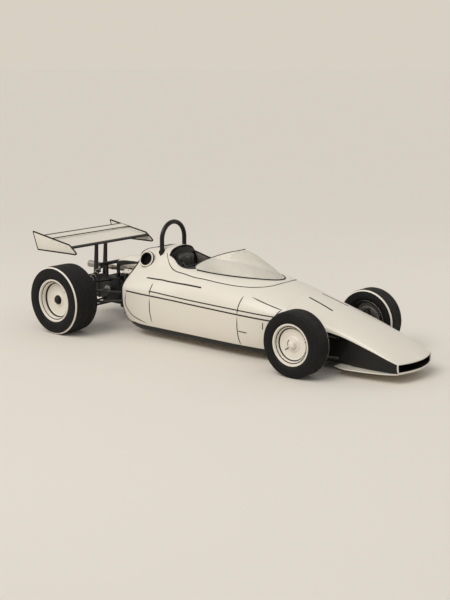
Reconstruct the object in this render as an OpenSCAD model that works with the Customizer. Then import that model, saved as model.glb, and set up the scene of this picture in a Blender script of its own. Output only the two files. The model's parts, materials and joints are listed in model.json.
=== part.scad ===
// Open-wheel racing car: wedge nose, open cockpit with a wrap-round screen, a humped engine cover,
// an exposed engine and gearbox, and a low rear wing between end plates.
// +X points forward, +Y to the car's left, +Z up. The origin lies on the ground under the car's middle.

/* [Overall] */
// Distance between the axles
wheelbase = 2560; // [2450:10:2750]
// Front axle to the tip of the nose
front_overhang = 830; // [790:5:880]
// Rear axle to the rear corners of the wing's end plates
rear_overhang = 645; // [625:5:720]
// Tub floor above the ground
ground_clearance = 60; // [52:1:70]

/* [Front wheels] */
// Width over the front tyres
front_width = 1310; // [1290:5:1400]
// Outer diameter of a front tyre
front_tyre_d = 548; // [536:2:570]
// Section width of a front tyre
front_tyre_w = 187; // [180:1:196]
// Bead seat diameter of a front rim
front_rim_d = 330; // [324:1:345]
// Depth of the front wheel's dish behind the rim's outer lip
front_dish = 44; // [36:1:50]

/* [Rear wheels] */
// Width over the rear tyres
rear_width = 1750; // [1720:5:1820]
// Outer diameter of a rear tyre
rear_tyre_d = 640; // [620:2:680]
// Section width of a rear tyre
rear_tyre_w = 290; // [276:1:304]
// Bead seat diameter of a rear rim
rear_rim_d = 381; // [375:1:400]
// Depth of the rear wheel's dish behind the rim's outer lip
rear_dish = 68; // [58:1:76]

/* [Body] */
// Greatest width of the tub
tub_width = 890; // [860:5:910]
// Width of the nose near its tip
nose_width = 544; // [520:2:560]
// Height of the joint between the tub and the upper panels amidships
split_height = 400; // [390:1:412]
// Height of the upper panels amidships
deck_height = 730; // [715:1:750]
// Thickness of the upper panels and the nose
panel_t = 8; // [6:0.5:10]
// Half width of the cockpit inside the tub
cockpit_half = 280; // [260:5:290]
// Thickness of the tub's floor
floor_t = 20; // [14:1:24]
// Half width of the cockpit opening in the upper panel
opening_half = 248; // [236:1:256]
// Height of the windscreen's peak above its front foot
screen_rise = 235; // [200:5:250]
// Thickness of the windscreen
screen_t = 5; // [4:0.5:8]

/* [Roll hoop] */
// Height of the roll hoop's top above the ground
hoop_height = 1055; // [1000:5:1100]
// Diameter of the roll hoop's tube
hoop_tube_d = 42; // [36:1:48]
// Distance between the middles of the hoop's legs
hoop_spread = 310; // [280:5:330]

/* [Wing] */
// Span over the end plates
wing_span = 1060; // [1000:10:1140]
// Thickness of an end plate
end_plate_t = 6; // [4:0.5:10]
// Chord of the main plane
wing_chord = 292; // [270:2:300]
// Chord of the trailing flap
flap_chord = 122; // [100:2:126]
// Height of the main plane's leading edge
wing_height = 762; // [740:1:790]
// Slope of the wing, in degrees
wing_slope = 11; // [9:0.5:13]

/* [Running gear] */
// Radius of the front stub axles
stub_r = 18; // [15:0.5:20]
// Radius of the rear stub shafts
shaft_r = 24; // [20:0.5:26]
// Radius of the brake discs
disc_r = 122; // [115:1:126]
// Half of the height between the front upper and lower ball joints
kingpin_half = 95; // [90:1:100]
// Length of a steering arm ahead of the axle
steer_arm = 80; // [72:1:84]
// Radius of the suspension tubes
link_r = 10; // [8:0.5:12]

/* [Power unit] */
// Half width of the engine block
block_half = 105; // [95:1:110]
// Half width of the cylinder head
head_half = 115; // [110:1:120]
// Height of the cylinder head's top
head_top = 490; // [480:1:496]
// Half width of the final drive case
drive_half = 115; // [105:1:122]

/* [Hidden] */
$fn = 48;
seat_gap = 0.4;         // between pieces that rest on each other
run_gap = 0.05;         // between a shaft and its bore
rear_axle_x = (rear_overhang - wheelbase - front_overhang) / 2;
front_axle_x = rear_axle_x + wheelbase;
nose_x = front_axle_x + front_overhang;
tail_x = rear_axle_x - rear_overhang;
front_hub_z = front_tyre_d / 2;
rear_hub_z = rear_tyre_d / 2;
tub_half = tub_width / 2;
nose_half = nose_width / 2;
LEFT = 1;
RIGHT = -1;

function rx(d) = rear_axle_x + d;
function fx(d) = front_axle_x + d;

// Body sections. The columns are the place along the car, the share of the way from the nose's half width
// to the tub's, the inset of the flat floor, the floor's rise, the joint's rise, the top's rise and the waist
// that pulls the upper panel in below the hump.
body_rows = [
    // x                          width   inset  floor  joint   top   waist
    [rx(450),                     0.800,   72,   132,    15,     25,  0.40],
    [rx(500),                     0.890,   78,    72,    15,     33,  0.40],
    [rx(570),                     0.945,   82,    28,    15,     46,  0.39],
    [rx(660),                     0.982,   82,     5,    14,     68,  0.38],
    [rx(760),                     1.000,   82,     0,    12,     92,  0.37],
    [rx(900),                     1.000,   82,     0,    10,     84,  0.34],
    [rx(1010),                    1.000,   82,     0,     8,     46,  0.20],
    [rx(1150),                    1.000,   82,     0,     5,     15,  0.05],
    [rx(1300),                    1.000,   82,     0,     0,      0,  0.00],
    [fx(-960),                    1.000,   82,     0,    -8,    -30,  0.00],
    [fx(-660),                    0.954,   82,     0,   -17,    -68,  0.00],
    [fx(-410),                    0.770,   80,     0,   -28,   -118,  0.00],
    [fx(-210),                    0.420,   80,     2,   -38,   -170,  0.00],
    [fx(0),                       0.230,   80,    10,   -50,   -230,  0.00],
    [fx(0.29 * front_overhang),   0.116,   66,    15,   -80,   -310,  0.00],
    [fx(0.59 * front_overhang),   0.052,   48,    15,  -148,   -400,  0.00],
    [fx(0.86 * front_overhang),   0.000,   30,    22,  -210,   -500,  0.00],
    [nose_x,                     -0.058,   20,    30,  -238,   -562,  0.00]
];
row_count = len(body_rows);

// Cubic through the rows of one column, so that the panels run smoothly from section to section.
function row_at(x, i = 0) = (i >= row_count - 2 || x <= body_rows[i + 1][0]) ? i : row_at(x, i + 1);
function slope(c, i) =
    let(a = max(i - 1, 0), b = min(i + 1, row_count - 1))
    (body_rows[b][c] - body_rows[a][c]) / (body_rows[b][0] - body_rows[a][0]);
function column(c, x) =
    let(i = row_at(x), p = body_rows[i], q = body_rows[i + 1], h = q[0] - p[0],
        t = min(max((x - p[0]) / h, 0), 1), t2 = t * t, t3 = t2 * t)
    p[c] * (2 * t3 - 3 * t2 + 1) + slope(c, i) * h * (t3 - 2 * t2 + t)
    + q[c] * (3 * t2 - 2 * t3) + slope(c, i + 1) * h * (t3 - t2);
function half_at(x) = nose_half + column(1, x) * (tub_half - nose_half);
function floor_half_at(x) = half_at(x) - column(2, x);
function floor_at(x) = ground_clearance + column(3, x);
function joint_at(x) = split_height + column(4, x);
function top_at(x) = deck_height + column(5, x);
function waist_at(x) = column(6, x);

// The nose's tip is bowed in plan: a point falls back by the square of its share of the half width.
tip_bow = 62;
bow_start_x = fx(0.45 * front_overhang);
function bow(x, y) =
    let(t = max((x - bow_start_x) / (nose_x - bow_start_x), 0))
    tip_bow * t * t * pow(y / half_at(x), 2);

// A point of the upper panel at angle a from the joint (0) to the middle (90), moved in by t.
function upper_point(x, a, t = 0) =
    let(y = (half_at(x) - t) * cos(a) * (1 - waist_at(x) * pow(sin(2 * a), 2)))
    [x - bow(x, y), y, joint_at(x) + seat_gap + (top_at(x) - t - joint_at(x)) * sin(a)];
function upper_z(x, y) =
    let(r = min(abs(y) / half_at(x), 1))
    joint_at(x) + seat_gap + (top_at(x) - joint_at(x)) * sqrt(1 - r * r);

// A point of the lower body at angle a from the joint (0) to the edge of the flat floor (90), moved in by t.
side_power = 2 / 2.6;
function lower_point(x, a, t = 0) =
    let(b = floor_half_at(x),
        y = b + (half_at(x) - t - b) * pow(cos(a), side_power))
    [x - bow(x, y), y, joint_at(x) - (joint_at(x) - floor_at(x) - t) * pow(sin(a), side_power)];

function spread(from, to, n) = [for (i = [0:n]) from + (to - from) * i / n];
function flipped(p) = [p[0], -p[1], p[2]];
function backwards(v) = [for (i = [len(v) - 1:-1:0]) v[i]];
// A section from the right side to the left, from the points of its left half, edge first.
function both_sides(half) =
    concat([for (p = half) flipped(p)], [for (i = [len(half) - 2:-1:0]) half[i]]);

// A closed wall between two grids of points with the same rows and columns. The cells of hole, given as
// [first row, last row, first column, last column], are left open. ring joins the last column to the first.
module wall(outer, inner, hole = [-1, -1, -1, -1], ring = false) {
    rows = len(outer);
    cols = len(outer[0]);
    cells = ring ? cols : cols - 1;
    function at(i, j) = i * cols + (ring ? j % cols : j);
    function deep(i, j) = rows * cols + at(i, j);
    function open(i, j) = i < 0 || i >= rows - 1 || (!ring && (j < 0 || j >= cells))
        || (i >= hole[0] && i < hole[1] && j >= hole[2] && j < hole[3]);
    function quad(a, b, c, d) = [[a, b, c], [a, c, d]];
    faces = [for (i = [0:rows - 2], j = [0:cells - 1]) if (!open(i, j)) each concat(
        quad(at(i, j), at(i, j + 1), at(i + 1, j + 1), at(i + 1, j)),
        quad(deep(i, j), deep(i + 1, j), deep(i + 1, j + 1), deep(i, j + 1)),
        open(i - 1, j) ? quad(at(i, j), deep(i, j), deep(i, j + 1), at(i, j + 1)) : [],
        open(i + 1, j) ? quad(at(i + 1, j + 1), deep(i + 1, j + 1), deep(i + 1, j), at(i + 1, j)) : [],
        open(i, j - 1) ? quad(at(i + 1, j), deep(i + 1, j), deep(i, j), at(i, j)) : [],
        open(i, j + 1) ? quad(at(i, j + 1), deep(i, j + 1), deep(i + 1, j + 1), at(i + 1, j + 1)) : [])];
    polyhedron([for (g = [outer, inner], row = g, p = row) p], faces);
}

// What stands on the left, or its mirror image on the right.
module sided(side) {
    if (side == LEFT) children();
    else mirror([0, 1, 0]) children();
}

// Turns +Z to +Y about an axle, so that a height becomes a place across the car.
module on_axle(x, z) { translate([x, 0, z]) rotate([-90, 0, 0]) children(); }

// A round bar between two points.
module bar(p, q, r) {
    d = q - p;
    n = norm(d);
    translate(p) rotate([0, acos(d[2] / n), atan2(d[1], d[0])]) cylinder(h = n, r = r);
}

// A round bar along X, centred.
module bush(p, r, length) { translate(p) rotate([0, 90, 0]) cylinder(h = length, r = r, center = true); }

module block(low, high) { translate(low) cube(high - low); }

cream = "#e6dccb";
black = "#141414";
graphite = "#2b2b2d";
silver = "#b9b9bb";

// Tub: a U-shaped monocoque with an engine bay behind, a fuel cell across the middle and the cockpit ahead.

tub_rear_x = rx(450);
cell_rear_x = rx(690);
firewall_ahead = 846;  // of the rear axle
firewall_t = 10;
cell_shelf = 104;      // top of the fuel cell ahead of the firewall
firewall_x = rx(firewall_ahead);
cell_front_x = firewall_x + firewall_t + cell_shelf;
tub_front_x = fx(-355);
bay_half = 235;
bay_gap_half = 150;    // half width of the opening in the engine bay's floor
bay_rows = 8;
step = 2;              // slope of the fuel cell's two faces
cell_drop = 1;         // the cell's top below the rim
tub_columns = 9;
tub_rows = concat(
    spread(tub_rear_x, cell_rear_x, bay_rows),
    spread(cell_rear_x + step, cell_front_x, 5),
    spread(cell_front_x + step, tub_front_x, 16));

function in_cell(x) = x > cell_rear_x + step / 2 && x < cell_front_x + step / 2;
// Half of the tub's inner outline: down the wall, round the corner and to the middle of the floor.
function tub_inner(x) =
    let(y = x < cell_front_x + step / 2 ? min(bay_half, half_at(x) - 60) : min(cockpit_half, half_at(x) - 45),
        top = joint_at(x),
        base = in_cell(x) ? top - cell_drop : floor_at(x) + floor_t,
        r = min(50, (top - base) / 2))
    concat([[x, y, top]],
        [for (a = spread(0, 90, tub_columns - 2)) [x, y - r * (1 - cos(a)), base + r - r * sin(a)]],
        [[x, bay_gap_half, base], [x, 0, base]]);
function tub_outer(x) =
    concat([for (a = spread(0, 90, tub_columns - 1)) lower_point(x, a)],
        [[x, bay_gap_half, floor_at(x)], [x, 0, floor_at(x)]]);

module tub() {
    color(cream) wall(
        [for (x = tub_rows) backwards(both_sides(tub_outer(x)))],
        [for (x = tub_rows) backwards(both_sides(tub_inner(x)))],
        [0, bay_rows, tub_columns, tub_columns + 2]);
}

// Footbox: the narrow box ahead of the tub that carries the front suspension.

foot_half = 235;
foot_low = ground_clearance + 15;
foot_top = 310;
foot_t = 12;
foot_front_x = fx(320);

module footbox() {
    color(black) difference() {
        block([tub_front_x + seat_gap, -foot_half, foot_low], [foot_front_x, foot_half, foot_top]);
        block([tub_front_x - 1, -foot_half + foot_t, foot_low + foot_t],
              [foot_front_x - foot_t, foot_half - foot_t, foot_top - foot_t]);
    }
}

// Upper panels: the engine cover, the cockpit surround and the nose.

cover_joint_x = rx(830);
nose_joint_x = fx(-260);
panel_columns = 12;

function panel_row(x, t) = both_sides([for (a = spread(0, 90, panel_columns)) upper_point(x, a, t)]);
module panel(xs) {
    wall([for (x = xs) panel_row(x, 0)], [for (x = xs) panel_row(x, panel_t)]);
}

// Intakes in the hump's sides: round ducts let into the engine cover.
duct_r = 70;
duct_wall = 9;
duct_out = 34;
duct_in = 60;
duct_x = rx(584);
duct_y = 196;
duct_tilt = 24;
duct_z = 684;
module duct_axis(side) {
    sided(side) translate([duct_x, duct_y, duct_z]) rotate([-90 + duct_tilt, 0, -8]) children();
}

hoop_r = hoop_tube_d / 2;
hoop_x = rx(730);
hoop_half = hoop_spread / 2;
hoop_bend_z = hoop_height - hoop_half - hoop_r;
// The hoop's tube: two legs from foot_z up and the bend between them.
module hoop_tube(r, foot_z) {
    translate([hoop_x, 0, 0]) {
        for (side = [LEFT, RIGHT])
            translate([0, side * hoop_half, foot_z]) cylinder(h = hoop_bend_z - foot_z, r = r);
        translate([0, 0, hoop_bend_z]) rotate([90, 0, 90])
            rotate_extrude(angle = 180) translate([hoop_half, 0]) circle(r = r);
    }
}

module engine_cover() {
    color(cream) difference() {
        panel(spread(tub_rear_x, cover_joint_x - seat_gap, 12));
        for (side = [LEFT, RIGHT])
            duct_axis(side) translate([0, 0, -duct_in - 40])
                cylinder(h = duct_in + 3 * duct_out, r = duct_r + seat_gap);
        hoop_tube(hoop_r + seat_gap, split_height);
    }
}

module intake_ducts() {
    color(black) for (side = [LEFT, RIGHT]) duct_axis(side) difference() {
        translate([0, 0, -duct_in]) cylinder(h = duct_in + duct_out, r = duct_r);
        translate([0, 0, -duct_in - 1]) cylinder(h = duct_in + duct_out + 2, r = duct_r - duct_wall);
    }
}

// The opening runs from the arch of the hump to its rounded front end under the screen. Its half width is
// measured as if the panel had no waist.
opening_lap = 4;       // of the cover's edge past the firewall's back
opening_rear_x = firewall_x - opening_lap;
opening_wide_x = rx(1221);
opening_front_x = fx(-585);
opening_swell = 40;    // how much wider it is beside the shoulders
opening_tip_half = 46;
function opening_at(x) =
    x <= opening_rear_x ? opening_half
    : x <= opening_wide_x
        ? opening_half + opening_swell * sin(180 * (x - opening_rear_x) / (opening_wide_x - opening_rear_x))
    : x >= opening_front_x ? opening_tip_half
    : let(t = (x - opening_wide_x) / (opening_front_x - opening_wide_x))
        max(opening_tip_half, opening_half * sqrt(1 - t * t));

edge_columns = 8;
mid_columns = 5;
function surround_half(x, t) =
    let(w = half_at(x), edge = acos(opening_at(x) / w))
    concat([for (a = spread(0, edge, edge_columns)) upper_point(x, a, t)],
        [for (i = [1:mid_columns]) upper_point(x, edge + (90 - edge) * i / mid_columns, t)]);

rear_rows = 1;
opening_rows = 25;
front_rows = 6;
surround_rows = concat(
    spread(cover_joint_x, opening_rear_x, rear_rows),
    [for (i = [1:opening_rows]) opening_rear_x + (opening_front_x - opening_rear_x) * sin(90 * i / opening_rows)],
    [for (i = [1:front_rows]) opening_front_x + (nose_joint_x - seat_gap - opening_front_x) * i / front_rows]);

module cockpit_surround() {
    color(cream) wall(
        [for (x = surround_rows) both_sides(surround_half(x, 0))],
        [for (x = surround_rows) both_sides(surround_half(x, panel_t))],
        [rear_rows, rear_rows + opening_rows, edge_columns, edge_columns + 2 * mid_columns]);
}

module nose_cone() { color(cream) panel(spread(nose_joint_x, nose_x, 18)); }

// Nose pan: the flanks and floor under the nose, from the footbox to the open mouth at the tip.
pan_columns = 7;
pan_rear_x = foot_front_x + seat_gap;
function pan_half(x, t) =
    concat([for (a = spread(0, 90, pan_columns)) lower_point(x, a, t)],
        [[x, 0, floor_at(x) + t]]);
module nose_pan() {
    xs = spread(pan_rear_x, nose_x, 11);
    color(black) wall(
        [for (x = xs) backwards(both_sides(pan_half(x, 0)))],
        [for (x = xs) backwards(both_sides(pan_half(x, panel_t)))]);
}

// Splitter: a lip that follows the nose's floor and stands out past its flanks, most at the back.
splitter_t = 8;
splitter_rear_x = fx(215);
splitter_out = 82;
splitter_tip_out = 8;
function splitter_reach(x) =
    let(t = (x - splitter_rear_x) / (nose_x - splitter_rear_x))
    half_at(x) + splitter_tip_out + (splitter_out - splitter_tip_out) * (1 - t) * min(1, 0.25 + 4 * t);
function splitter_top(x) = (x < pan_rear_x + 40 ? min(floor_at(x), foot_low) : floor_at(x)) - seat_gap;
function splitter_row(x, drop) =
    [for (k = spread(-1, 1, 10))
        [x - bow(x, k * half_at(x)), k * splitter_reach(x), splitter_top(x) - drop]];
module nose_splitter() {
    xs = spread(splitter_rear_x, nose_x, 12);
    color(cream) wall([for (x = xs) splitter_row(x, 0)], [for (x = xs) splitter_row(x, splitter_t)]);
}

// Windscreen: ruled from a foot round the front of the opening to a top edge that peaks in the middle.
screen_foot_rear_x = opening_wide_x;
screen_foot_front_x = opening_front_x + 40;
screen_foot_half = opening_half + 14;
screen_lean = 440;
screen_draw_in = 74;
screen_flat = 0.11;    // share of the rise that the top edge loses
screen_gap = 0.8;
function screen_foot(phi, t) =
    let(x = screen_foot_rear_x + (screen_foot_front_x - screen_foot_rear_x) * cos(phi) - t * cos(phi),
        y = (screen_foot_half - t) * sin(phi))
    [x, y, upper_z(x, y) + screen_gap];
function screen_point(phi, v, t) =
    let(c = max(cos(phi), 0), f = screen_foot(phi, t),
        k = v * pow(c, 0.67) + 0.02 * v, bulge = 14 * sin(180 * v) * c)
    f + [-screen_lean * k * pow(c, 0.2) + bulge * c, -screen_draw_in * k * sin(phi),
         screen_rise * k * (1 - screen_flat * pow(v, 5))];
module windscreen() {
    color([0.85, 0.88, 0.88, 0.35]) wall(
        [for (phi = spread(-88, 88, 28)) [for (v = spread(0, 1, 6)) screen_point(phi, v, 0)]],
        [for (phi = spread(-88, 88, 28)) [for (v = spread(0, 1, 6)) screen_point(phi, v, screen_t)]]);
}

// Roll hoop: a bent tube that stands on the fuel cell and passes up through the engine cover.
module roll_hoop() { color(black) hoop_tube(hoop_r, joint_at(hoop_x) - cell_drop + seat_gap); }

// Firewall: the plate that closes the hump behind the seat, with the headrest on its face.
firewall_inset = 5;
module firewall() {
    x = firewall_x;
    base = joint_at(x) - cell_drop + seat_gap;
    half = [for (a = spread(0, 90, 8))
        let(p = upper_point(x + firewall_t, a, panel_t + firewall_inset)) [p[1], max(p[2], base)]];
    color(black) translate([x, 0, 0]) rotate([90, 0, 90]) linear_extrude(firewall_t)
        polygon(concat([[bay_half, base]], [for (p = half) if (p[0] < bay_half) p],
            [for (i = [len(half) - 2:-1:0]) if (half[i][0] < bay_half) [-half[i][0], half[i][1]]],
            [[-bay_half, base]]));
}

headrest_t = 62;
headrest_half = 105;
headrest_low = 610;
headrest_high = 752;
headrest_r = 40;
module headrest() {
    color(graphite) translate([firewall_x + firewall_t + seat_gap, 0, 0])
        rotate([90, 0, 90]) linear_extrude(headrest_t) union() {
            for (y = [-1, 1] * (headrest_half - headrest_r), z = [headrest_low + headrest_r, headrest_high - headrest_r])
                translate([y, z]) circle(headrest_r);
            translate([-headrest_half, headrest_low + headrest_r])
                square([2 * headrest_half, headrest_high - headrest_low - 2 * headrest_r]);
            translate([-headrest_half + headrest_r, headrest_low])
                square([2 * (headrest_half - headrest_r), headrest_high - headrest_low]);
        }
}

// Seat: a bucket whose section is drawn along a reclined path, with bolsters that rise at its sides.
seat_half = 215;
seat_t = 14;
seat_bolster = 95;
seat_floor = ground_clearance + floor_t + seat_gap + seat_t;
// Place along the car from the fuel cell's front face, height above the lowest point, lean of the surface.
seat_path = [
    [640, 105, -24], [520, 52, -22], [400, 14, -12], [300, 0, 4], [215, 16, 32], [150, 78, 58],
    [115, 160, 68], [85, 260, 72], [58, 360, 74], [38, 440, 72], [14, 505, 66], [-14, 552, 58]];
function seat_point(s, k, t) =
    let(rise = seat_bolster * pow(abs(k), 5) + 12 * k * k - t)
    [cell_front_x + s[0] + rise * sin(s[2]), k * (seat_half - 24 * pow(abs(k), 6)),
     seat_floor + s[1] + rise * cos(s[2])];
module seat() {
    ks = spread(-1, 1, 14);
    color(graphite) wall(
        [for (s = seat_path) [for (k = ks) seat_point(s, -k, 0)]],
        [for (s = seat_path) [for (k = ks) seat_point(s, -k, seat_t)]]);
}

// Dashboard across the tub under the screen, bored for the steering shaft.
dash_behind = 700;     // the front axle
dash_x = fx(-dash_behind);
dash_t = 10;
dash_low = 300;
dash_inset = 16;
wheel_x = fx(-955);
wheel_z = 578;
column_drop = 14;      // slope of the steering shaft, in degrees
column_r = 12;
module on_column() { translate([wheel_x, 0, wheel_z]) rotate([0, 90 + column_drop, 0]) children(); }
module dashboard() {
    y_wall = min(cockpit_half, half_at(dash_x) - 45) - seat_gap;
    half = [for (a = spread(25, 90, 8))
        let(p = upper_point(dash_x, a, panel_t + dash_inset)) [p[1], p[2]]];
    color(black) difference() {
        translate([dash_x, 0, 0]) rotate([90, 0, 90]) linear_extrude(dash_t)
            polygon(concat([[y_wall, dash_low], [y_wall, joint_at(dash_x + dash_t) - 2]],
                [for (p = half) if (p[0] < y_wall) p],
                [for (i = [len(half) - 2:-1:0]) if (half[i][0] < y_wall) [-half[i][0], half[i][1]]],
                [[-y_wall, joint_at(dash_x + dash_t) - 2], [-y_wall, dash_low]]));
        on_column() cylinder(h = 400, r = column_r + run_gap);
    }
}

wheel_rim_r = 128;
wheel_grip_r = 13;
column_length = 300;
module steering_wheel() {
    color(graphite) on_column() {
        rotate_extrude() translate([wheel_rim_r, 0]) circle(r = wheel_grip_r);
        for (a = [0, 120, 240]) rotate([0, 0, a])
            translate([0, -14, -4]) cube([wheel_rim_r, 28, 8]);
        translate([0, 0, -14]) cylinder(h = 34, r = 34);
        cylinder(h = column_length, r = column_r);
    }
}

// Radiator behind the nose's mouth, on the floor of the pan.
radiator_x = fx(470);
radiator_t = 40;
radiator_half = 195;
radiator_top = 268;
radiator_slot = 8;
module radiator() {
    low = floor_at(radiator_x + radiator_t) + panel_t + seat_gap;
    color(graphite) difference() {
        block([radiator_x, -radiator_half, low], [radiator_x + radiator_t, radiator_half, radiator_top]);
        for (z = [low + 18:2 * radiator_slot:radiator_top - 22])
            block([radiator_x + radiator_t - 12, -radiator_half + 20, z],
                  [radiator_x + radiator_t + 1, radiator_half - 20, z + radiator_slot]);
    }
}

// Engine: an upright four bolted to the fuel cell, its intakes on the right and its exhaust on the left.

drive_front_x = rx(120);
engine_front_x = cell_rear_x - seat_gap;
block_low = 150;
block_top = 400;
sump_low = ground_clearance + floor_t + 6;
sump_half = 80;
cam_r = 38;
cam_half = 58;
port_z = head_top - 44;
port_xs = [for (d = [185:115:530]) rx(d)];

module engine() {
    color(graphite) {
        block([drive_front_x, -block_half, block_low], [engine_front_x, block_half, block_top]);
        block([drive_front_x + 30, -sump_half, sump_low], [engine_front_x - 20, sump_half, block_low]);
        block([drive_front_x + 20, -head_half, block_top], [engine_front_x - 20, head_half, head_top]);
        for (side = [LEFT, RIGHT]) intersection() {
            bush([(drive_front_x + engine_front_x) / 2, side * cam_half, head_top],
                 cam_r, engine_front_x - drive_front_x - 60);
            block([drive_front_x, -head_half, head_top - 1], [engine_front_x, head_half, head_top + cam_r]);
        }
        block([drive_front_x + 30, -14, head_top - 1], [engine_front_x - 30, 14, head_top + cam_r]);
        for (x = [drive_front_x + 60:70:engine_front_x - 60])
            block([x, -block_half - 6, block_low + 20], [x + 12, block_half + 6, block_top - 30]);
    }
}

// Intake trumpets, one for each cylinder, flared at the mouth.
trumpet_r = 22;
trumpet_length = 88;
trumpet_tilt = 28;
module intake_trumpets() {
    color(silver) for (x = port_xs)
        translate([x, -head_half - seat_gap, port_z]) rotate([90 - trumpet_tilt, 0, 0]) difference() {
            union() {
                intersection() {
                    translate([0, 0, -30]) cylinder(h = trumpet_length + 10, r = trumpet_r);
                    rotate([trumpet_tilt, 0, 0]) translate([-50, -100, 0]) cube([100, 200, 200]);
                }
                translate([0, 0, trumpet_length - 25]) cylinder(h = 25, r1 = trumpet_r, r2 = trumpet_r + 12);
            }
            translate([0, 0, 12]) cylinder(h = trumpet_length, r = trumpet_r - 5);
        }
}

// Exhaust: four stubs into a log that runs back over the drive shafts to a megaphone.
exhaust_y = head_half + 36;
exhaust_z = head_top - 24;
exhaust_r = 22;
exhaust_end_x = rx(-570);
megaphone_x = rx(-240);
megaphone_r = 36;
module exhaust() {
    color(silver) difference() {
        union() {
            for (x = port_xs) bar([x, head_half + seat_gap, exhaust_z], [x, exhaust_y, exhaust_z], exhaust_r - 3);
            bar([megaphone_x, exhaust_y, exhaust_z], [port_xs[3] + 30, exhaust_y, exhaust_z], exhaust_r);
            translate([megaphone_x, exhaust_y, exhaust_z]) rotate([0, -90, 0])
                cylinder(h = megaphone_x - exhaust_end_x, r1 = exhaust_r, r2 = megaphone_r);
        }
        translate([exhaust_end_x - 1, exhaust_y, exhaust_z]) rotate([0, 90, 0])
            cylinder(h = 160, r1 = megaphone_r - 4, r2 = megaphone_r - 10);
    }
}

// Air scoop over the cam covers: an oval trunk with a wide mouth that tapers to its tail.
scoop_mouth_x = rx(385);
scoop_tail_x = rx(15);
scoop_t = 5;
// Share of the way from tail to mouth, half width, half height.
scoop_rows = [[0, 22, 14], [0.05, 50, 32], [0.16, 76, 48], [0.40, 92, 62], [0.70, 102, 67], [1, 108, 69]];
scoop_base = head_top + cam_r + seat_gap;
function scoop_ring(s, t) =
    [for (a = [0:15:345])
        [scoop_tail_x + (scoop_mouth_x - scoop_tail_x) * s[0] - 30 * s[0] * (cos(a) - 1) / 2 * s[0]
            + (s[0] == 0 ? t : 0),
         (s[1] - t) * sin(a), scoop_base + s[2] + (s[2] - t) * cos(a)]];
module air_scoop() {
    color(cream) wall([for (s = scoop_rows) scoop_ring(s, 0)], [for (s = scoop_rows) scoop_ring(s, scoop_t)],
        ring = true);
}

// Gearbox: the final drive case on the axle line, the gear case behind it, the damper beam and the jacking bar.

drive_rear_x = rx(-115);
drive_low = 180;
drive_top = 430;
gear_rear_x = rx(-425);
gear_half = 85;
gear_low = 205;
gear_top = 395;
output_r = 48;
output_y = drive_half + 15;
beam_x = rx(-85);
beam_half = 178;
beam_low = 540;
beam_t = 30;
jack_bar_r = 12;
jack_bar_x = rx(-470);
jack_bar_z = 240;
jack_bar_half = 110;

module gearbox() {
    color(graphite) {
        block([drive_rear_x, -drive_half, drive_low], [drive_front_x - seat_gap, drive_half, drive_top]);
        block([gear_rear_x, -gear_half, gear_low], [drive_rear_x, gear_half, gear_top]);
        on_axle(rear_axle_x, rear_hub_z) cylinder(h = 2 * output_y, r = output_r, center = true);
        for (x = [gear_rear_x + 40:60:drive_rear_x - 40])
            block([x, -gear_half - 7, gear_low - 5], [x + 10, gear_half + 7, gear_top + 7]);
        block([beam_x - beam_t / 2, -beam_half, beam_low], [beam_x + beam_t / 2, beam_half, beam_low + beam_t]);
        for (side = [LEFT, RIGHT])
            block([beam_x - 12, side * 80 - 12, drive_top], [beam_x + 12, side * 80 + 12, beam_low]);
        on_axle(jack_bar_x, jack_bar_z) cylinder(h = 2 * jack_bar_half, r = jack_bar_r, center = true);
        for (side = [LEFT, RIGHT])
            block([jack_bar_x, side * 40 - 5, jack_bar_z - 10], [gear_rear_x, side * 40 + 5, jack_bar_z + 30]);
        for (side = [LEFT, RIGHT])
            translate([0, side * 40, 0]) on_axle(jack_bar_x, jack_bar_z)
                cylinder(h = 10, r = jack_bar_r + 10, center = true);
    }
}

// Wing: a main plane and a trailing flap between end plates, carried by two pylons on the gear case.

wing_front_x = rx(-85);
flap_slot = 9;         // rise of the flap above the main plane
wing_half = wing_span / 2 - end_plate_t - seat_gap;
// Thickness of a wing section at share s of its chord, and its sag below the chord line.
function thickness(s) = 5 * (0.2969 * sqrt(s) - 0.126 * s - 0.3516 * s * s + 0.2843 * pow(s, 3) - 0.1036 * pow(s, 4));
function sag(s) = 4 * s * (1 - s);
wing_thick = 0.12;
wing_sag = 0.045;
function wing_z(s, face, chord) = chord * (face * wing_thick * thickness(s) - wing_sag * sag(s));
wing_shares = [for (i = [0:14]) pow(i / 14, 2)];
module wing_section(chord) {
    polygon(concat([for (s = wing_shares) [-s * chord, wing_z(s, 1, chord)]],
        [for (i = [13:-1:1]) [-wing_shares[i] * chord, wing_z(wing_shares[i], -1, chord)]]));
}
// A point in the wing's own plane, from its leading edge backwards and upwards, placed in the car's XZ plane.
function wing_place(p) = [
    wing_front_x + p[0] * cos(wing_slope) + p[1] * sin(wing_slope),
    wing_height - p[0] * sin(wing_slope) + p[1] * cos(wing_slope)];
flap_start = [-wing_chord + 4, flap_slot];
flap_slope = 2;
module across(half) { rotate([90, 0, 0]) linear_extrude(2 * half, center = true) children(); }
module wing_planes() {
    color(cream) across(wing_half) {
        translate(wing_place([0, 0])) rotate(-wing_slope) wing_section(wing_chord);
        translate(wing_place(flap_start)) rotate(-wing_slope - flap_slope) wing_section(flap_chord);
    }
}

// An end plate's outline, swept back at the top and pointed at its lower front corner.
plate_top = 872;
plate_low = 700;
plate_front_x = rx(-27);
module wing_end_plates() {
    outline = [[tail_x, plate_top], [tail_x + 62, plate_low], [plate_front_x - 14, plate_low + 6],
        [plate_front_x, plate_low + 16], [plate_front_x - 30, plate_low + 42], [plate_front_x - 95, plate_low + 88]];
    color(cream) for (side = [LEFT, RIGHT])
        sided(side) translate([0, wing_span / 2, 0]) rotate([90, 0, 0]) linear_extrude(end_plate_t)
            polygon(outline);
}

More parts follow.
